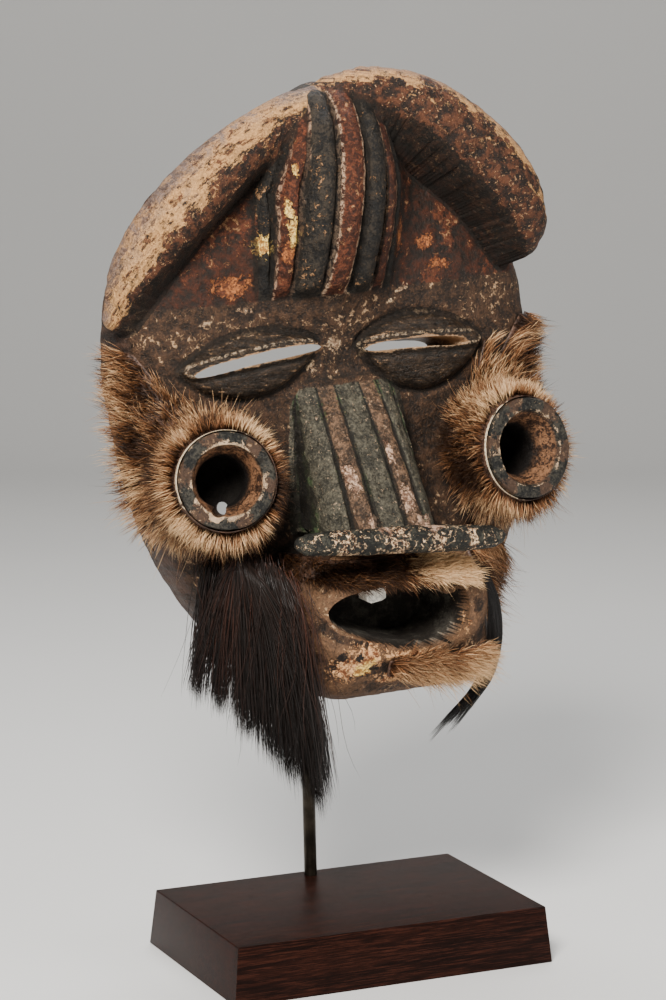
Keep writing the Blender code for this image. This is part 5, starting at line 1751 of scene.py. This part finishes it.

    # Polished flank, raw hollow, the mouth drawn dark as painted shade with grey patches of painted light,
    # and what is chipped, bare or freshly coloured; then painted shade in the grooves and a painted highlight
    # along the slits.
    flank_wood = p.noise(p.place((0.5, 0.35, 2.2)), 0.09, 6, 0.6, 0.6)
    flank_colour = p.blend(p.step(flank_wood, 0.38, 0.62), (0.016, 0.009, 0.006), (0.066, 0.033, 0.020))
    flank_colour = p.blend(p.step(chips, 0.62, 0.66) * 0.7, flank_colour, (0.30, 0.17, 0.095))
    colour = p.blend(p.step(p.field("flank"), 0.3, 0.7), colour, flank_colour)
    raw = p.blend(p.step(flank_wood, 0.3, 0.7), (0.075, 0.040, 0.021), (0.21, 0.125, 0.070))
    raw = p.blend(p.step(broad, 0.5, 0.7) * 0.6, raw, (0.05, 0.028, 0.017))
    colour = p.blend(p.step(p.field("inner"), 0.3, 0.7), colour, raw)
    worn_orange = mottled((0.20, 0.062, 0.020), (0.66, 0.36, 0.165), 0.43, 0.53)
    worn_red = mottled((0.10, 0.028, 0.010), (0.36, 0.125, 0.038), 0.45, 0.60)
    below_brow = 1 - p.field("on_forehead")
    for name, paint, edge in (
        ("orange_worn", p.blend(p.step(below_brow, 0.4, 0.6), worn_red, worn_orange), 0.60),
        ("yellow_worn", mottled((0.40, 0.17, 0.035), (0.86, 0.60, 0.17)), 0.66),
        ("white_worn", mottled((0.20, 0.115, 0.065), (0.50, 0.35, 0.21)), 0.84),
        ("pink_worn", mottled((0.16, 0.082, 0.048), (0.50, 0.33, 0.225)), 0.66),
        ("black_spots", (0.012, 0.008, 0.006), 0.55),
    ):
        colour = p.blend(ragged(name, edge), colour, paint)
    # Painted shade and light: the inside of the mouth is drawn dark, with grey patches of painted light for
    # its lit floor.
    deep = p.field("mouth_deep") * (1 - p.field("inner"))
    mouth_lit_patches = p.step(broad * 0.7 + patchy * 0.3, 0.42, 0.60)
    mouth_colour = p.blend(mouth_lit_patches, (0.040, 0.032, 0.024), (0.20, 0.185, 0.15))
    mouth_colour = p.shade(mouth_colour, 0.6 + fine * 0.8)
    colour = p.blend(p.step(deep, 0.05, 0.5), colour, mouth_colour)
    colour = p.blend(p.field("on_tooth"), colour, (0.80, 0.76, 0.68))
    # Painted shade in the grooves and hollows.
    colour = p.blend(groove * 0.8, colour, (0.007, 0.005, 0.003))
    # Painted highlight: a pale line, broken by noise, along the slits' edges on the lid rims.
    slit = p.step(1.1 - abs(p.field("slit_edge") - 1.2), 0.0, 0.8) * p.step(chips, 0.49, 0.56)
    colour = p.blend(slit * 0.7, colour, (0.46, 0.34, 0.22))
    colour = p.shade(colour, 0.62 + p.step(patchy * 0.4 + fine * 0.6, 0.34, 0.68) * 0.72)

    flaked = (ragged("pink_worn", 0.62) + ragged("orange_worn", 0.58)).least(1)
    height = broad * 0.5 + patchy * 1.3 + fine * 0.8 + grit * 0.2 + specks * 0.35 - flaked * 0.4
    cracks = p.step(0.035 - p.cell_edges(here, 0.11), 0, 0.03)
    normal = p.bump(height - cracks * 0.12, 0.00095)
    rough = 0.60 - eye * 0.20 - p.field("flank") * 0.14 - p.field("on_nose") * 0.12 + patchy_sway * 0.30
    return p.done(Base_Color=colour, Roughness=rough + groove * 0.15, Normal=normal, Specular_IOR_Level=0.26)


def fur_paint():
    """Brown hair, dark at its root and paler towards its tip, hair by hair."""
    s = bpy.context.scene.mask_fur
    p = Paint("hide_fur_paint")
    reach, tone, hue = p.field("reach"), p.field("tone"), p.field("hue")
    root, middle, tip = tuple(s.root), tuple(s.middle), tuple(s.tip)
    body = p.blend(hue, times(middle, 0.45), times(middle, 1.40))
    body = p.blend(p.step(tone, 0.02, 0.42), p.shade(body, 0.10), body)
    colour = p.blend(p.step(reach, 0.0, 0.45), p.shade(root, p.step(tone, 0.0, 0.4) * 0.8 + 0.2), body)
    paleness = p.step(reach * 0.7 + tone * 1.15 + (hue - 0.5) * 0.35, 0.82, 1.50)
    colour = p.blend(paleness, colour, tip)
    return p.done(Base_Color=colour, Roughness=0.46, Specular_IOR_Level=0.25)


def leather_paint():
    """Bare hide, cream where it was cut round the tubes."""
    s = bpy.context.scene.mask_fur
    p = Paint("bare_hide_paint")
    here = p.place()
    creases, pores = p.noise(here, 0.16, 5, 0.6, 0.8), p.noise(here, 1.3, 3, 0.6)
    leather = tuple(s.leather)
    colour = p.blend(p.step(creases, 0.38, 0.62), times(leather, 0.55), times(leather, 1.7))
    cut = p.step(0.030 - p.field("collar") + (pores - 0.5) * 0.02, 0.0, 0.01)
    cut = cut * p.step(p.field("cut_pale") + (creases - 0.5) * 2.5, 0.25, 0.45)
    cream = p.blend(p.step(pores, 0.4, 0.6), (0.42, 0.30, 0.17), (0.78, 0.66, 0.48))
    colour = p.blend(cut, colour, cream)
    normal = p.bump(creases + pores * 0.4, 0.0007)
    return p.done(Base_Color=colour, Roughness=0.55 + (pores - 0.5) * 0.3, Normal=normal)


def strand_paint(name, dark, light, roughness):
    p = Paint(name)
    tone, hue, reach = p.field("tone"), p.field("hue"), p.field("reach")
    colour = p.blend(tone * tone * 0.75 + (hue - 0.5) * 0.25, dark, light)
    colour = p.shade(colour, 1.1 - reach * 0.6)
    return p.done(Base_Color=colour, Roughness=roughness, Specular_IOR_Level=0.38)


def rosewood_paint():
    """Dark polished wood with fine reddish bands along the base."""
    s = bpy.context.scene.mask_stand
    dark, light = tuple(s.dark_wood), tuple(s.red_wood)
    p = Paint("rosewood_paint")
    bands = p.noise(p.place((0.05, 0.75, 1.5)), 0.20, 6, 0.6, 0.5)
    fine = p.noise(p.place((0.10, 2.2, 3.4)), 0.55, 4, 0.6, 0.2)
    pores = p.noise(p.place((0.16, 5.0, 7.0)), 1.1, 2, 0.5)
    colour = p.blend(p.step(bands * 0.5 + fine * 0.5, 0.40, 0.60), times(dark, 0.8), times(light, 0.50))
    colour = p.blend(p.step(fine, 0.52, 0.60) * 0.6, colour, times(light, 1.05))
    colour = p.blend(p.step(pores, 0.56, 0.62) * 0.85, colour, times(dark, 0.3))
    rough = 0.33 + (fine - 0.5) * 0.10 + p.step(pores, 0.60, 0.68) * 0.15
    return p.done(
        Base_Color=colour, Roughness=rough, Normal=p.bump(fine * 0.5 - pores, 0.00006),
        Specular_IOR_Level=0.07,
    )


def bronzed_steel_paint():
    s = bpy.context.scene.mask_stand
    bronze = tuple(s.bronze)
    p = Paint("bronzed_steel_paint")
    cloud, drawn = p.noise(p.place(), 0.12, 5, 0.6), p.noise(p.place((6, 6, 0.15)), 0.8, 3, 0.5)
    colour = p.blend(p.step(cloud, 0.35, 0.65), times(bronze, 0.6), times(bronze, 1.5))
    rough = 0.34 + (drawn - 0.5) * 0.2 + (cloud - 0.5) * 0.15
    return p.done(Base_Color=colour, Roughness=rough, Metallic=0.85, Normal=p.bump(drawn, 0.00002))


def studio_paint():
    p = Paint("studio_paper")
    floor = tuple(bpy.context.scene.mask_studio.floor)
    cloud = p.noise(p.place(), 0.004, 3, 0.5)
    colour = p.blend(p.step(cloud, 0.3, 0.7), times(floor, 0.985), floor)
    return p.done(Base_Color=colour, Roughness=0.9, Specular_IOR_Level=0.2)


def painted(thing, paint, slot, *nodes):
    """Gives a piece its material and its place on the body, and hides the parts that it stands in for. The
    slot is not used.
    """
    thing.data.materials.clear()
    thing.data.materials.append(paint)
    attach(thing, "root")
    if nodes:
        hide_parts(*nodes)
    return thing


def shared(name, make):
    """A material made once and used again."""
    return bpy.data.materials.get(name) or make()


class CARVEDMASK_OT_mask(bpy.types.Operator):
    """Carve and paint the mask"""

    bl_idname = "carved_mask.mask"
    bl_label = "Carve Mask"

    def execute(self, context):
        painted(carve_mask(), carved_wood_paint(), "mask_wood", "mask")
        return {"FINISHED"}


class CARVEDMASK_OT_cheek_hides(bpy.types.Operator):
    """Lay a hide with its fur round each cheek tube"""

    bl_idname = "carved_mask.cheek_hides"
    bl_label = "Lay Cheek Hides"

    def execute(self, context):
        leather, fur = shared("bare_hide_paint", leather_paint), shared("hide_fur_paint", fur_paint)
        for side in TUBES:
            hide, net, share = make_cheek_hide(side)
            painted(hide, leather, "hide_fur", "cheek_hide_" + side)
            painted(make_cheek_fur(side, net, share), fur, "hide_fur")
        return {"FINISHED"}


class CARVEDMASK_OT_fur_strips(bpy.types.Operator):
    """Lay the moustache, the chin's tuft and the strip down the jaw"""

    bl_idname = "carved_mask.fur_strips"
    bl_label = "Lay Fur Strips"

    def execute(self, context):
        leather, fur = shared("bare_hide_paint", leather_paint), shared("hide_fur_paint", fur_paint)
        for make, node in (
            (make_moustache, "moustache"), (make_chin_fur, "chin_fur"), (make_jaw_fur, "jaw_hide_right"),
        ):
            hide, hair = make()
            painted(hide, leather, "hide_fur", node)
            painted(hair, fur, "hide_fur")
        return {"FINISHED"}


class CARVEDMASK_OT_beard(bpy.types.Operator):
    """Hang the beard and its loose strands"""

    bl_idname = "carved_mask.beard"
    bl_label = "Hang Beard"

    def execute(self, context):
        s = context.scene.mask_hair
        hair = strand_paint("beard_paint", tuple(s.black_brown), tuple(s.red_brown), 0.42)
        painted(make_beard(), hair, "beard_hair", "beard")
        painted(make_loose_strands(), hair, "beard_hair")
        return {"FINISHED"}


class CARVEDMASK_OT_hair_lock(bpy.types.Operator):
    """Hang the black lock at the corner of the mouth"""

    bl_idname = "carved_mask.hair_lock"
    bl_label = "Hang Hair Lock"

    def execute(self, context):
        black = strand_paint("hair_lock_paint", (0.006, 0.005, 0.005), (0.030, 0.022, 0.018), 0.36)
        painted(make_hair_lock(), black, "black_hair", "hair_lock")
        return {"FINISHED"}


class CARVEDMASK_OT_stand(bpy.types.Operator):
    """Make the rod and the base that hold the mask"""

    bl_idname = "carved_mask.stand"
    bl_label = "Make Stand"

    def execute(self, context):
        mask = bpy.data.objects["mask_carving"]
        painted(make_rod(mask), bronzed_steel_paint(), "rod_metal", "stand_rod")
        painted(make_base(), rosewood_paint(), "base_wood", "base")
        return {"FINISHED"}


# The camera: where it stands, and how far it looks from the mask's left and from above.
CAMERA_PLACE = (-0.592, -1.278, 0.442)
CAMERA_TURN = radians(-24.54)
CAMERA_RISE = radians(8.85)
SWEEP_HALF_WIDTH = 3.0
SWEEP_FRONT = -2.2
SWEEP_BACK = 1.6
SWEEP_RADIUS = 0.7
SWEEP_HEIGHT = 3.2


def make_sweep():
    """The floor, which curves up into the backdrop."""
    turns = np.linspace(0, pi / 2, 24)
    profile = [(SWEEP_FRONT, 0.0)]
    profile += [
        (SWEEP_BACK + SWEEP_RADIUS * sin(t), SWEEP_RADIUS * (1 - cos(t))) for t in turns
    ]
    profile.append((SWEEP_BACK + SWEEP_RADIUS, SWEEP_HEIGHT))
    points = [(x, y, z) for y, z in profile for x in (-SWEEP_HALF_WIDTH, SWEEP_HALF_WIDTH)]
    sweep = new_mesh("studio_sweep", points, grid(len(profile), 2, flip=True))
    sweep.data.transform(Matrix.Rotation(CAMERA_TURN, 4, "Z"))
    sweep.data.shade_smooth()
    sweep.data.materials.append(studio_paint())


def add_light(name, place, aim, size, power, colour=(1, 1, 1)):
    data = bpy.data.lights.new(name, "AREA")
    data.shape, data.size, data.energy, data.color = "DISK", size, power, colour
    lamp = bpy.data.objects.new(name, data)
    lamp.location = place
    lamp.rotation_euler = (Vector(aim) - Vector(place)).to_track_quat("-Z", "Y").to_euler()
    bpy.context.scene.collection.objects.link(lamp)


class CARVEDMASK_OT_stage(bpy.types.Operator):
    """Set the floor, the soft lights and the camera"""

    bl_idname = "carved_mask.stage"
    bl_label = "Set Stage"

    def execute(self, context):
        s = context.scene.mask_studio
        make_sweep()
        middle = (0, 0, 0.27)
        add_light("key", (-0.75, -0.95, 1.15), middle, 0.55, s.key, (1.0, 0.965, 0.92))
        add_light("fill", (1.15, -0.85, 0.75), middle, 0.8, s.fill, (1.0, 0.975, 0.95))
        add_light("crown", (0.25, 0.55, 1.25), middle, 0.6, s.fill * 1.2, (1, 1, 1))
        world = bpy.data.worlds.new("studio_air")
        world.use_nodes = True
        air = world.node_tree.nodes["Background"].inputs
        air["Color"].default_value, air["Strength"].default_value = (0.84, 0.83, 0.82, 1), 0.24
        context.scene.world = world
        back = Vector((
            sin(CAMERA_TURN) * cos(CAMERA_RISE), -cos(CAMERA_TURN) * cos(CAMERA_RISE), sin(CAMERA_RISE)
        ))
        camera = bpy.data.objects.new("camera", bpy.data.cameras.new("camera"))
        camera.location = CAMERA_PLACE
        camera.rotation_euler = back.to_track_quat("Z", "Y").to_euler()
        camera.data.lens = s.lens
        camera.data.clip_end = 50
        context.scene.collection.objects.link(camera)
        context.scene.camera = camera
        return {"FINISHED"}


OPERATORS = (
    CARVEDMASK_OT_mask, CARVEDMASK_OT_cheek_hides, CARVEDMASK_OT_fur_strips, CARVEDMASK_OT_beard,
    CARVEDMASK_OT_hair_lock, CARVEDMASK_OT_stand, CARVEDMASK_OT_stage,
)
SETTINGS = {
    "mask_carving": CarvingSettings, "mask_fur": FurSettings, "mask_hair": HairSettings,
    "mask_stand": StandSettings, "mask_studio": StudioSettings,
}


class CARVEDMASK_PT_panel(bpy.types.Panel):
    """Everything that the mask is made with"""

    bl_label = "Carved Mask"
    bl_idname = "CARVEDMASK_PT_panel"
    bl_space_type = "VIEW_3D"
    bl_region_type = "UI"
    bl_category = "Carved Mask"

    def draw(self, context):
        for operator in OPERATORS:
            self.layout.operator(operator.bl_idname)
        for name, settings in SETTINGS.items():
            box = self.layout.box()
            for key in settings.__annotations__:
                box.prop(getattr(context.scene, name), key)


def register():
    for made in (*SETTINGS.values(), *OPERATORS, CARVEDMASK_PT_panel):
        bpy.utils.register_class(made)
    for name, settings in SETTINGS.items():
        setattr(bpy.types.Scene, name, bpy.props.PointerProperty(type=settings))


def unregister():
    for name in SETTINGS:
        delattr(bpy.types.Scene, name)
    for made in (CARVEDMASK_PT_panel, *reversed(OPERATORS), *SETTINGS.values()):
        bpy.utils.unregister_class(made)


def main():
    register()
    for operator in OPERATORS:
        group, name = operator.bl_idname.split(".")
        getattr(getattr(bpy.ops, group), name)()


if __name__ == "__main__":
    main()
